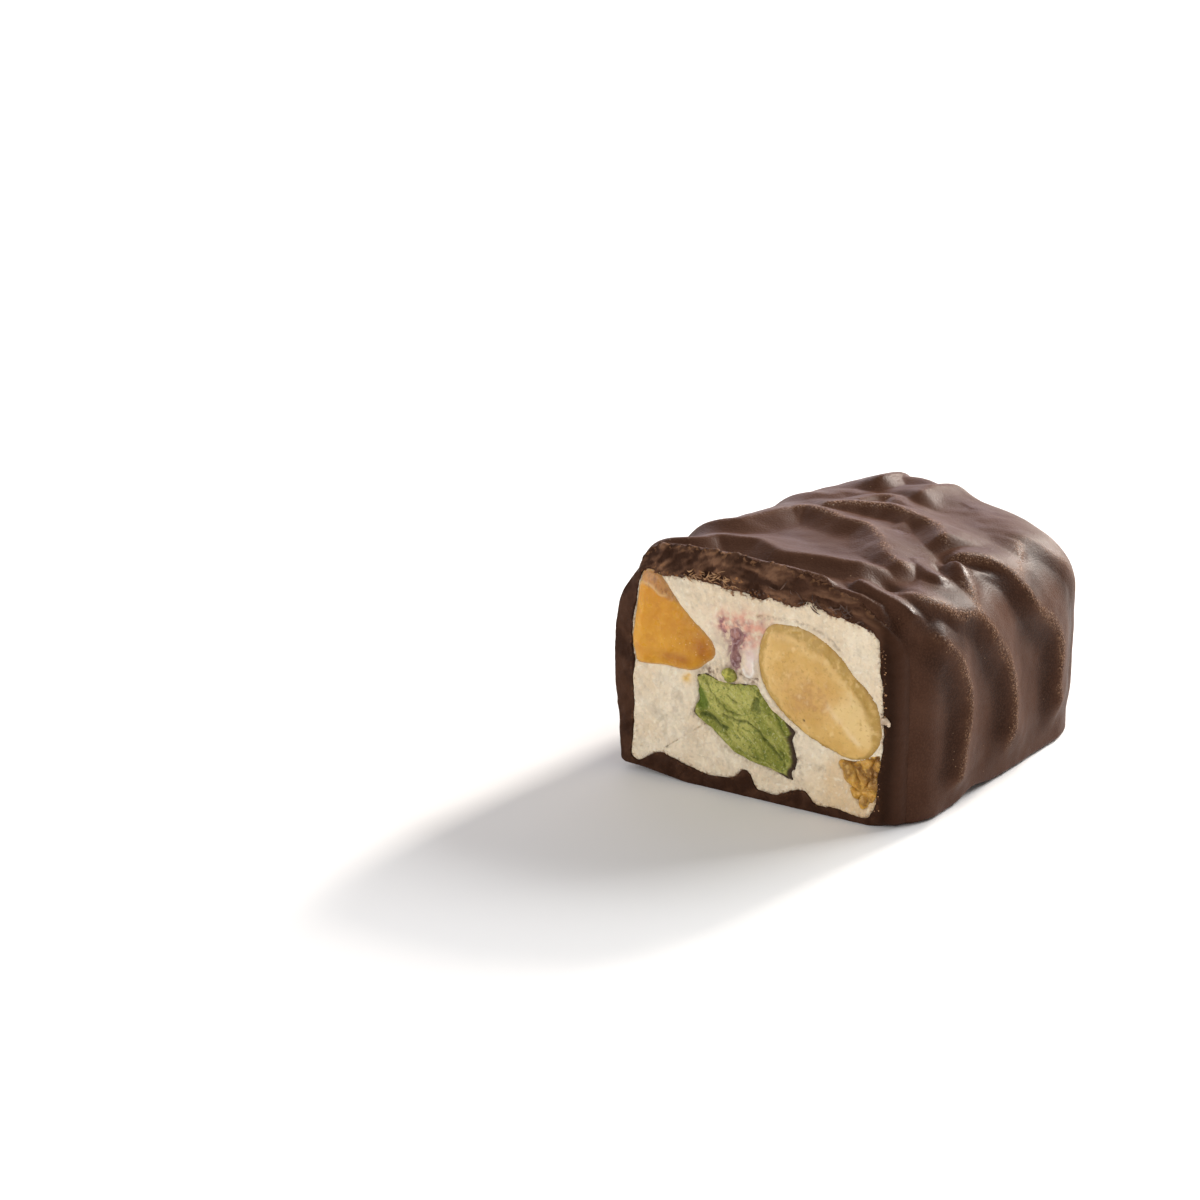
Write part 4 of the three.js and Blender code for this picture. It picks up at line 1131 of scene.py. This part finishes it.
def chocolate_skin():
    """Satin dark chocolate, finely speckled, with a tan grain along the crests and painted shade at the
    foot of their steep flanks on the right wall.
    """
    skin = Finish("chocolate_skin", specular_ior_level=0.05)
    skin.base(skin.mottle(5), (0.066, 0.0280, 0.0160), (0.083, 0.0375, 0.0225))
    # Painted shade at the foot of the crests' steep flanks on the right wall.
    skin.paint((0.030, 0.012, 0.0065), skin.value("flank_shade"), 0.85)
    skin.paint((0.125, 0.058, 0.034), skin.mottle(0.2, 2, 0.45, 0.6), 0.22)
    patches = skin.between(skin.mottle(2.2, 3, 0.33, 0.6), 0.45, 1)
    line = skin.times(skin.value("crest"), patches)
    dull = skin.times(line, skin.mottle(0.6, 3, 0.3, 0.6))
    skin.paint((0.15, 0.072, 0.038), dull, 0.6)
    beads = skin.combine("MAXIMUM", skin.beads(0.32, 0.42, 0.25), skin.beads(0.2, 0.4, 0.22))
    beads = skin.times(skin.ramp(line, 0.1, 0.75), beads)
    skin.paint((0.33, 0.185, 0.11), beads, 0.75)
    dust = skin.times(skin.beads(0.9, 0.075, 0.045), skin.mottle(3, 2, 0.5, 0.6))
    skin.paint((0.42, 0.26, 0.15), dust)
    skin.relief(skin.mottle(1.6, 3, 0.2, 0.8), 0.012)
    skin.relief(skin.mottle(0.2, 3, 0.2, 0.8), 0.021)
    skin.relief(skin.combine("ADD", beads, dust), 0.07)
    roughness = skin.combine(
        "ADD", skin.between(skin.mottle(4), 0.41, 0.49), skin.between(skin.value("glossy"), 0, -0.21),
    )
    return skin.done(roughness)


def cut_chocolate_finish():
    """Cut chocolate: matte and torn along the top, dark and smeared by the knife elsewhere, and on its
    rounded right side darkened towards the nougat as painted shade.
    """
    cut = Finish("cut_chocolate_finish", specular_ior_level=0.045)
    smooth = cut.mix(cut.mottle(2, 4), (0.037, 0.015, 0.008), (0.066, 0.029, 0.016))
    # Painted shade: on the rounded right side the colour runs from the skin's brown at the outer edge to
    # near black by the nougat.
    rounded_side = cut.mix(
        cut.ramp(cut.value("inner"), 0.05, 0.6), (0.062, 0.0265, 0.0150), (0.028, 0.0115, 0.0060),
    )
    smooth = cut.mix(cut.value("rounded_side"), smooth, rounded_side)
    torn = cut.mix(cut.ramp(cut.value("torn"), -0.35, 0.3), (0.042, 0.018, 0.010), (0.108, 0.052, 0.030))
    torn = cut.mix(cut.ramp(cut.value("torn"), 0.2, 0.6), torn, (0.19, 0.098, 0.056))
    torn = cut.mix(cut.times(cut.value("smeared"), 0.4), torn, (0.080, 0.034, 0.019))
    cut.base(cut.value("top"), smooth, torn)
    golden = cut.times(cut.ramp(cut.value("torn"), 0.15, 0.4), cut.mottle(0.45, 4, 0.52, 0.6))
    golden = cut.times(golden, cut.value("golden"))
    cut.paint((0.36, 0.17, 0.07), golden)
    flecks = cut.times(cut.mottle(0.3, 3, 0.57, 0.64), cut.value("rim"))
    cut.paint((0.30, 0.13, 0.05), flecks, 0.7)
    edge = cut.times(cut.mottle(0.5, 3, 0.5, 0.62), cut.value("outer"))
    cut.paint((0.22, 0.11, 0.055), edge, cut.value("top"))
    grainy = cut.times(cut.mottle(0.3, 4, 0.2, 0.8), cut.value("top"))
    cut.relief(grainy, 0.05)
    cut.relief(cut.mottle(1.4, 4, 0.2, 0.8), 0.09)
    return cut.done(cut.between(cut.value("top"), 0.42, 0.55))


def nougat_finish():
    """Creamy aerated nougat with greyish mottling and the fruit's colour bled into it, painted shade in its
    pores, grooves and crevices, and a painted highlight on the raised edge above the pistachio.
    """
    cream = Finish(
        "nougat_finish", roughness=0.6, subsurface_weight=0.2, subsurface_scale=0.0006,
        subsurface_radius=(1.0, 0.7, 0.45), specular_ior_level=0.35,
    )
    cream.base(cream.mottle(3.5), (0.85, 0.73, 0.55), (0.78, 0.635, 0.45))
    cream.paint((0.74, 0.52, 0.28), cream.value("warm"), 0.7)
    cream.paint((0.52, 0.45, 0.35), cream.value("grey"), 0.3)
    cream.paint((0.56, 0.48, 0.37), cream.mottle(1.1, 5, 0.5, 0.68), 0.3)
    cream.paint((0.50, 0.42, 0.32), cream.mottle(0.4, 4, 0.52, 0.7), 0.3)
    cream.paint((0.93, 0.86, 0.72), cream.mottle(0.5, 3, 0.55, 0.7), 0.4)
    cream.paint((0.80, 0.67, 0.64), cream.value("milky"), 0.75)
    cream.paint((0.72, 0.37, 0.27), cream.value("blush"), cream.mottle(0.8, 4, 0.3, 0.65))
    cream.paint((0.30, 0.13, 0.14), cream.value("stain"), cream.mottle(0.5, 4, 0.35, 0.6))
    # Partly dirt and smears, partly painted shade in the grooves, the dimple and beside the pistachio.
    cream.paint((0.22, 0.14, 0.09), cream.value("grime_and_shade"), cream.mottle(0.45, 4, 0.35, 0.65))
    # Painted shade in the pores.
    cream.paint((0.46, 0.38, 0.29), cream.value("pore_shade"), 0.35)
    cream.paint((0.78, 0.49, 0.13), cream.value("fleck"))
    # Painted highlight: a near-white glint along the raised edge above the pistachio.
    cream.paint((0.90, 0.83, 0.76), cream.value("lip_highlight"), 0.8)
    crumbs = cream.times(cream.value("rim"), cream.mottle(0.35, 3, 0.52, 0.6))
    cream.paint((0.30, 0.15, 0.07), crumbs)
    cream.relief(cream.mottle(0.9, 5, 0.2, 0.8), 0.11)
    cream.relief(cream.mottle(0.24, 3, 0.2, 0.8), 0.035)
    return cream.done()


def almond_finish():
    """Waxy blanched kernel: deeper yellow round its rim, partly as painted shade where the dome turns away,
    browner in the middle, paler on the facet, with painted highlights in the rim band and on its edges and
    a painted shade line round its border.
    """
    wax = Finish(
        "almond_finish", roughness=0.42, subsurface_weight=0.25, subsurface_scale=0.001,
        subsurface_radius=(1.0, 0.6, 0.25), specular_ior_level=0.4,
    )
    wax.base(wax.mottle(2.2), (0.72, 0.46, 0.150), (0.64, 0.385, 0.105))
    wax.paint((0.62, 0.33, 0.11), wax.value("warm"), 0.35)
    wax.paint((0.50, 0.265, 0.09), wax.value("warm"), wax.mottle(0.9, 5, 0.35, 0.75))
    wax.paint((0.78, 0.56, 0.245), wax.value("facet"), 0.9)
    # Painted highlight along the inner edge of the deeper yellow band.
    wax.paint((0.86, 0.64, 0.30), wax.value("edge_highlight"), 0.22)
    # The rim band: deeper yellow, partly the kernel's own colour and partly painted shade where the dome
    # turns away; its lighter patches are painted highlights.
    wax.paint((0.45, 0.27, 0.055), wax.value("band"), 0.85)
    patches = wax.times(wax.value("band"), wax.mottle(0.8, 4, 0.5, 0.65))
    wax.paint((0.74, 0.49, 0.17), patches, 0.45)
    # Painted shade: a dark line round the border with the nougat.
    wax.paint((0.36, 0.20, 0.05), wax.value("rim"), 0.7)
    wax.paint((0.46, 0.25, 0.07), wax.mottle(0.35, 4, 0.57, 0.7), 0.4)
    wax.paint((0.84, 0.62, 0.29), wax.mottle(0.9, 4, 0.55, 0.72), 0.45)
    wax.paint((0.50, 0.30, 0.08), wax.mottle(0.7, 5, 0.56, 0.7), 0.35)
    # Painted highlight along the fold line at the facet's left edge.
    wax.paint((0.90, 0.70, 0.46), wax.value("crease_highlight"), 0.4)
    wax.paint((0.05, 0.02, 0.01), wax.value("speck"))
    wax.relief(wax.mottle(0.9, 4, 0.2, 0.8), 0.08)
    wax.relief(wax.mottle(0.2, 2, 0.2, 0.8), 0.008)
    return wax.done()


def pistachio_finish():
    """Green broken kernel with pale ridges, partly painted highlight, a painted highlight patch, dark
    cracks, pit and hollow that are painted shade, and a purple-brown skin.
    """
    green = Finish(
        "pistachio_finish", roughness=0.6, subsurface_weight=0.15, subsurface_scale=0.0006,
        subsurface_radius=(0.6, 1.0, 0.3), specular_ior_level=0.2,
    )
    green.base(green.mottle(1.4, 5, 0.3, 0.7), (0.190, 0.212, 0.027), (0.34, 0.335, 0.065))
    # Lighter on the ridge tops, partly the kernel's own colour and partly painted highlight.
    green.paint((0.40, 0.385, 0.095), green.ramp(green.value("ridge"), -0.1, 0.55))
    green.paint((0.56, 0.53, 0.15), green.value("pale"), 0.8)
    green.paint((0.11, 0.155, 0.03), green.mottle(0.35, 4, 0.53, 0.66), 0.6)
    green.paint((0.60, 0.58, 0.27), green.mottle(0.3, 4, 0.56, 0.68), 0.55)
    green.paint((0.38, 0.37, 0.07), green.value("strip"), 0.5)
    # Painted shade: darker in the hollow at the left tip, in the cracks and in the pit, which are also sunk
    # in the relief.
    green.paint((0.11, 0.17, 0.015), green.value("hollow"), 0.85)
    green.paint((0.075, 0.095, 0.014), green.value("crack"), 0.9)
    green.paint((0.09, 0.12, 0.02), green.value("pit"), 0.7)
    green.paint((0.068, 0.040, 0.024), green.value("skin"))
    green.relief(green.mottle(0.45, 5, 0.2, 0.8), 0.17)
    green.relief(green.mottle(0.15, 2, 0.2, 0.8), 0.03)
    return green.done()


def orange_finish():
    """Moist amber fruit, deeper where it is thick with syrup."""
    amber = Finish(
        "orange_finish", subsurface_weight=0.35, subsurface_scale=0.0015,
        subsurface_radius=(1.0, 0.45, 0.08), specular_ior_level=0.35,
    )
    amber.base(amber.mottle(3.0), (0.67, 0.315, 0.016), (0.60, 0.25, 0.009))
    amber.paint((0.52, 0.20, 0.010), amber.mottle(0.8, 5, 0.5, 0.7), 0.4)
    amber.paint((0.80, 0.43, 0.06), amber.mottle(0.6, 5, 0.56, 0.72), 0.4)
    amber.paint((0.38, 0.120, 0.006), amber.value("syrup"), 0.9)
    amber.paint((0.46, 0.22, 0.075), amber.value("above"), 0.8)
    amber.paint((0.85, 0.58, 0.25), amber.value("flecks"), 0.6)
    specks = amber.times(amber.beads(0.42, 0.22, 0.12), amber.value("sugar"))
    amber.paint((0.88, 0.60, 0.30), specks, 0.6)
    amber.paint((0.23, 0.085, 0.02), amber.value("fibres"), 0.6)
    amber.paint((0.72, 0.48, 0.22), amber.value("membrane"), 0.6)
    amber.paint((0.64, 0.38, 0.19), amber.value("rim"), 0.6)
    amber.relief(amber.mottle(1.2, 4, 0.2, 0.8), 0.06)
    amber.relief(amber.mottle(0.3, 3, 0.2, 0.8), 0.012)
    return amber.done(amber.between(amber.mottle(1.5), 0.26, 0.42))


def brittle_finish():
    """Glassy caramel in many small crumbs."""
    caramel = Finish(
        "brittle_finish", roughness=0.3, subsurface_weight=0.2, subsurface_scale=0.0008,
        subsurface_radius=(1.0, 0.5, 0.12), specular_ior_level=0.35,
    )
    caramel.base(
        caramel.ramp(caramel.value("tone"), -0.35, 0.35), (0.235, 0.105, 0.018), (0.58, 0.305, 0.050),
    )
    caramel.paint((0.70, 0.37, 0.055), caramel.value("bright"), 0.7)
    caramel.paint((0.48, 0.265, 0.05), caramel.value("pale"), 0.4)
    caramel.paint((0.72, 0.44, 0.11), caramel.mottle(0.5, 4, 0.5, 0.65), 0.6)
    caramel.paint((0.30, 0.13, 0.03), caramel.mottle(0.6, 4, 0.54, 0.7), 0.4)
    # Painted shade in the gaps between the crumbs.
    caramel.paint((0.19, 0.075, 0.015), caramel.value("gap"), 0.5)
    caramel.relief(caramel.mottle(0.45, 4, 0.2, 0.8), 0.08)
    return caramel.done()


def berry_finish():
    """Dull purple dried berry."""
    purple = Finish("berry_finish", roughness=0.55, specular_ior_level=0.4)
    purple.base(purple.ramp(purple.value("tone"), -0.3, 0.4), (0.18, 0.060, 0.058), (0.39, 0.185, 0.150))
    purple.paint((0.095, 0.032, 0.038), purple.value("depth"), 0.7)
    purple.paint((0.50, 0.33, 0.34), purple.mottle(0.4, 4, 0.5, 0.62), 0.5)
    purple.paint((0.50, 0.33, 0.30), purple.value("rim"), 0.8)
    purple.relief(purple.mottle(0.4, 4, 0.2, 0.8), 0.06)
    return purple.done()


def pistachio_crumb_finish():
    """Yellow-green crumb."""
    green = Finish("pistachio_crumb_finish", roughness=0.5)
    green.base(green.ramp(green.value("tone"), -0.4, 0.4), (0.26, 0.27, 0.035), (0.52, 0.48, 0.085))
    green.paint((0.16, 0.14, 0.03), green.value("rim"), 0.5)
    green.relief(green.mottle(0.3, 3, 0.2, 0.8), 0.05)
    return green.done()


def crumb_finish(name, dark, light, roughness):
    """A finish for small loose crumbs."""
    crumb = Finish(name, roughness=roughness)
    crumb.base(crumb.mottle(0.5, 3, 0.35, 0.65), dark, light)
    crumb.relief(crumb.mottle(0.2, 3, 0.2, 0.8), 0.03)
    return crumb.done()


# ---------------------------------------------------------------------------------------------------
# Crumbs


def make_crumbs(name, places, finish, seed, flat=0.6):
    """Small angular crumbs on the cut face, as one mesh. A place is an x, how far the crumb stands out
    of the cut, a z and a radius."""
    draw = random.Random(seed)
    bm = bmesh.new()
    for x, height, z, radius in places:
        turn = Matrix.Rotation(draw.uniform(0, 6.28), 4, "Y")
        turn = turn @ Matrix.Rotation(draw.uniform(0, 6.28), 4, "X")
        shape = Matrix.Diagonal((draw.uniform(0.7, 1.5), flat, draw.uniform(0.6, 1.1), 1))
        at = Matrix.Translation((x, CUT_Y - height, z))
        made = bmesh.ops.create_icosphere(bm, subdivisions=1, radius=radius, matrix=at @ shape @ turn)
        for vert in made["verts"]:
            vert.co += Vector([draw.uniform(-0.28, 0.28) * radius for _ in range(3)])
    points = np.array([vert.co[:] for vert in bm.verts])
    mesh = finished_mesh(bm, name, points, {})
    mesh.polygons.foreach_set("use_smooth", [False] * len(mesh.polygons))
    add_piece(mesh, name, finish)


SLIVER_ROWS = 6
SLIVER_LIFT = 0.12
SLIVER_THICKNESS = 0.025


def make_slivers(name, path, count, spread, lengths, finish, seed):
    """Thin bent slivers that lie on the cut beside a line, as one mesh."""
    draw = random.Random(seed)
    line = spline(path, 200)
    bm = bmesh.new()
    row = bm.verts.layers.int.new("row")
    number = bm.verts.layers.int.new("number")
    forms = []
    for i in range(count):
        ring = bmesh.ops.create_circle(bm, segments=5, radius=1, cap_ends=True)["verts"]
        for vert in ring:
            vert[number] = i
        edges = list({edge for vert in ring for edge in vert.link_edges})
        bmesh.ops.contextual_create(bm, geom=extrude_rows(bm, edges, SLIVER_ROWS, row))
        x, z = line[draw.randrange(len(line))]
        forms.append((
            x + draw.gauss(0, spread), z + draw.gauss(0, spread), draw.uniform(*lengths),
            draw.uniform(-1.2, 1.2), draw.uniform(0.05, 0.1), draw.uniform(-1.1, 1.1),
            draw.uniform(0.05, 0.3),
        ))
    ring = np.array([vert.co[:] for vert in bm.verts])
    share = np.array([vert[row] for vert in bm.verts]) / SLIVER_ROWS - 0.5
    x, z, length, turn, width, bend, lift = np.array(forms)[[vert[number] for vert in bm.verts]].T
    taper = 1 - 3.4 * share**2
    ahead = length * share
    across = width * ring[:, 0] * taper + bend * length * share**2
    x = x + ahead * np.cos(turn) - across * np.sin(turn)
    y = CUT_Y - SLIVER_LIFT - lift * (1 - 4 * share**2) + SLIVER_THICKNESS * ring[:, 1] * taper
    z = z + ahead * np.sin(turn) + across * np.cos(turn)
    points = np.stack([x, y, z], axis=1)
    mesh = finished_mesh(bm, name, points, {})
    add_piece(mesh, name, finish)


def scatter_beside(path, count, spread, sizes, seed, height):
    """Random crumb places beside a line drawn through a few points of the cut face."""
    draw = random.Random(seed)
    line = spline(path, 200)
    places = []
    for _ in range(count):
        x, z = line[draw.randrange(len(line))]
        size = sizes[0] + (sizes[1] - sizes[0]) * draw.random() ** 2
        places.append((x + draw.gauss(0, spread), height, z + draw.gauss(0, spread), size))
    return places


# ---------------------------------------------------------------------------------------------------
# Making


NOUGAT_OVERLAP = 0.12
NOUGAT_FORM = {"squares": 200, "depth": 36, "blunt": 6}

# What lies in the nougat: piece, node, slot, squares across its face, depth, relief and finish.
PLUGS = [
    ("almond_kernel", "almond", "almond", 110, 7, almond_relief, almond_finish),
    ("pistachio_kernel", "pistachio", "pistachio", 150, 8, pistachio_relief, pistachio_finish),
    ("orange_wedge", "candied_orange", "candied_orange", 110, 9, orange_relief, orange_finish),
    ("berry_shred", "berry", "berry", 40, 3, berry_relief, berry_finish),
    ("brittle_lump", "brittle", "brittle", 80, 6, brittle_relief, brittle_finish),
    ("pistachio_chip", "pistachio_crumb", "pistachio", 30, 1.4, crumb_relief, pistachio_crumb_finish),
]

outer_edge = make_coating()
make_cut_chocolate(outer_edge)
nougat_line = grown(closed_outline(NOUGAT), NOUGAT_OVERLAP)
make_plug("nougat_filling", "nougat", nougat_line, NOUGAT_FORM, nougat_relief, nougat_finish())
for name, node, slot, squares, depth, relief, finish in PLUGS:
    form = {"squares": squares, "depth": depth, "blunt": 2}
    make_plug(name, node, INCLUSIONS[node], form, relief, finish())

chocolate_bits = crumb_finish("chocolate_bits", (0.05, 0.022, 0.013), (0.13, 0.062, 0.036), 0.6)
golden_bits = crumb_finish("golden_bits", (0.24, 0.11, 0.045), (0.46, 0.25, 0.11), 0.45)
nougat_bits = crumb_finish("nougat_bits", (0.42, 0.30, 0.20), (0.66, 0.52, 0.38), 0.6)

# Lines of the cut face beside which crumbs lie.
GOLDEN_TOP = [(-9.5, 22.7), (-7, 22.9), (-5, 22.9), (-3.4, 22.3)]
RIGHT_EDGE = [(14.0, 19.0), (14.15, 16), (14.3, 12.5)]
LOW_RIGHT_EDGE = [(13.9, 9), (13.9, 5), (13.6, 1.5)]
TOP_EDGE = [(-12, 22.7), (-5, 22.9), (-1, 22.3), (4, 22.3), (9, 22.0), (12.8, 20.9)]
GOLDEN_TEAR = [(-9.5, 22.9), (-7, 23.2), (-4.8, 23.3), (-3.4, 22.9)]
DARK_TEAR = [(-2, 22.9), (2, 23.2), (5, 22.7), (9, 22.4), (12, 21.4)]
# The crumb stuck to the coating, and what broke off it: x, how far out, z and radius.
STUCK_CRUMB = [
    (14.5, 0.1, 11.7, 0.42), (14.15, 0.1, 12.2, 0.22), (14.9, 0.0, 11.3, 0.2), (14.2, 0.1, 11.2, 0.2),
]

golden_places = scatter_beside(GOLDEN_TOP, 45, 0.25, (0.04, 0.13), 5, 0.05)
golden_places += scatter_beside(RIGHT_EDGE, 40, 0.2, (0.03, 0.11), 9, 0.03)
golden_places += scatter_beside(LOW_RIGHT_EDGE, 24, 0.2, (0.03, 0.09), 10, 0.03)
chocolate_places = scatter_beside(TOP_EDGE, 50, 0.15, (0.06, 0.16), 7, 0.05)
make_crumbs("golden_crumbs", golden_places, golden_bits, 6)
make_crumbs("chocolate_crumbs", chocolate_places, chocolate_bits, 8)
make_crumbs("nougat_crumbs", STUCK_CRUMB, nougat_bits, 11, 0.8)
make_slivers("golden_slivers", GOLDEN_TEAR, 30, 0.3, (0.5, 1.3), golden_bits, 12)
make_slivers("chocolate_slivers", DARK_TEAR, 22, 0.3, (0.6, 1.6), chocolate_bits, 13)


# ---------------------------------------------------------------------------------------------------
# Camera, light and floor


CAMERA = {"azimuth": 29, "elevation": 18, "distance": 340, "target": (0, 0, 13), "lens": 94.08}
AIM = {"tilt": 17.5746, "turn": 34.1364}


def add_camera():
    """The camera looks at the cut face from the right and above."""
    around = math.radians(CAMERA["azimuth"])
    above = math.radians(CAMERA["elevation"])
    level = math.cos(above)
    way = np.array([math.sin(around) * level, -math.cos(around) * level, math.sin(above)])
    data = bpy.data.cameras.new("camera")
    data.lens = CAMERA["lens"]
    data.sensor_width = 36
    data.clip_start = 0.01
    camera = bpy.data.objects.new("camera", data)
    camera.location = (np.array(CAMERA["target"]) + SHIFT + CAMERA["distance"] * way) * MM
    camera.rotation_euler = (math.radians(90 - AIM["tilt"]), 0, math.radians(AIM["turn"]))
    bpy.context.scene.collection.objects.link(camera)
    bpy.context.scene.camera = camera


def add_softbox(name, place, size, power, colour=(1, 1, 1)):
    """A square light that faces the bar."""
    data = bpy.data.lights.new(name, "AREA")
    data.shape = "RECTANGLE"
    data.size, data.size_y = size
    data.energy = power
    data.color = colour
    lamp = bpy.data.objects.new(name, data)
    lamp.location = place
    lamp.rotation_euler = (Vector((0, 0, 0.013)) - Vector(place)).to_track_quat("-Z", "Y").to_euler()
    bpy.context.scene.collection.objects.link(lamp)


def add_world(strength):
    """An even white surround."""
    world = bpy.data.worlds.new("surround")
    bpy.context.scene.world = world
    world.use_nodes = True
    background = world.node_tree.nodes["Background"]
    background.inputs["Color"].default_value = (1, 0.985, 0.965, 1)
    background.inputs["Strength"].default_value = strength


def add_floor():
    """A plain pale floor."""
    bm = bmesh.new()
    bmesh.ops.create_grid(bm, x_segments=1, y_segments=1, size=3)
    mesh = bpy.data.meshes.new("floor")
    bm.to_mesh(mesh)
    bm.free()
    floor = bpy.data.objects.new("floor", mesh)
    bpy.context.scene.collection.objects.link(floor)
    pale = Finish("pale_floor", roughness=0.9, specular_ior_level=0.1)
    pale.base(pale.mottle(80), (0.93, 0.93, 0.93), (0.95, 0.95, 0.95))
    mesh.materials.append(pale.done())


add_camera()
add_world(0.38)
add_softbox("back_softbox", (0.27, 0.70, 0.50), (0.42, 0.3), 7.2)
add_softbox("small_softbox", (0.08, 0.77, 0.38), (0.12, 0.12), 8, (1, 0.92, 0.83))
add_softbox("left_softbox", (-0.50, 0.74, 0.27), (0.7, 0.25), 2.1, (1, 0.88, 0.98))
add_softbox("low_softbox", (-0.06, 0.94, 0.13), (0.3, 0.12), 1.5, (1, 0.87, 0.78))
add_softbox("front_softbox", (-0.5, -0.75, 0.3), (0.9, 0.5), 4.0)
add_floor()
bpy.context.scene.view_settings.view_transform = "Standard"
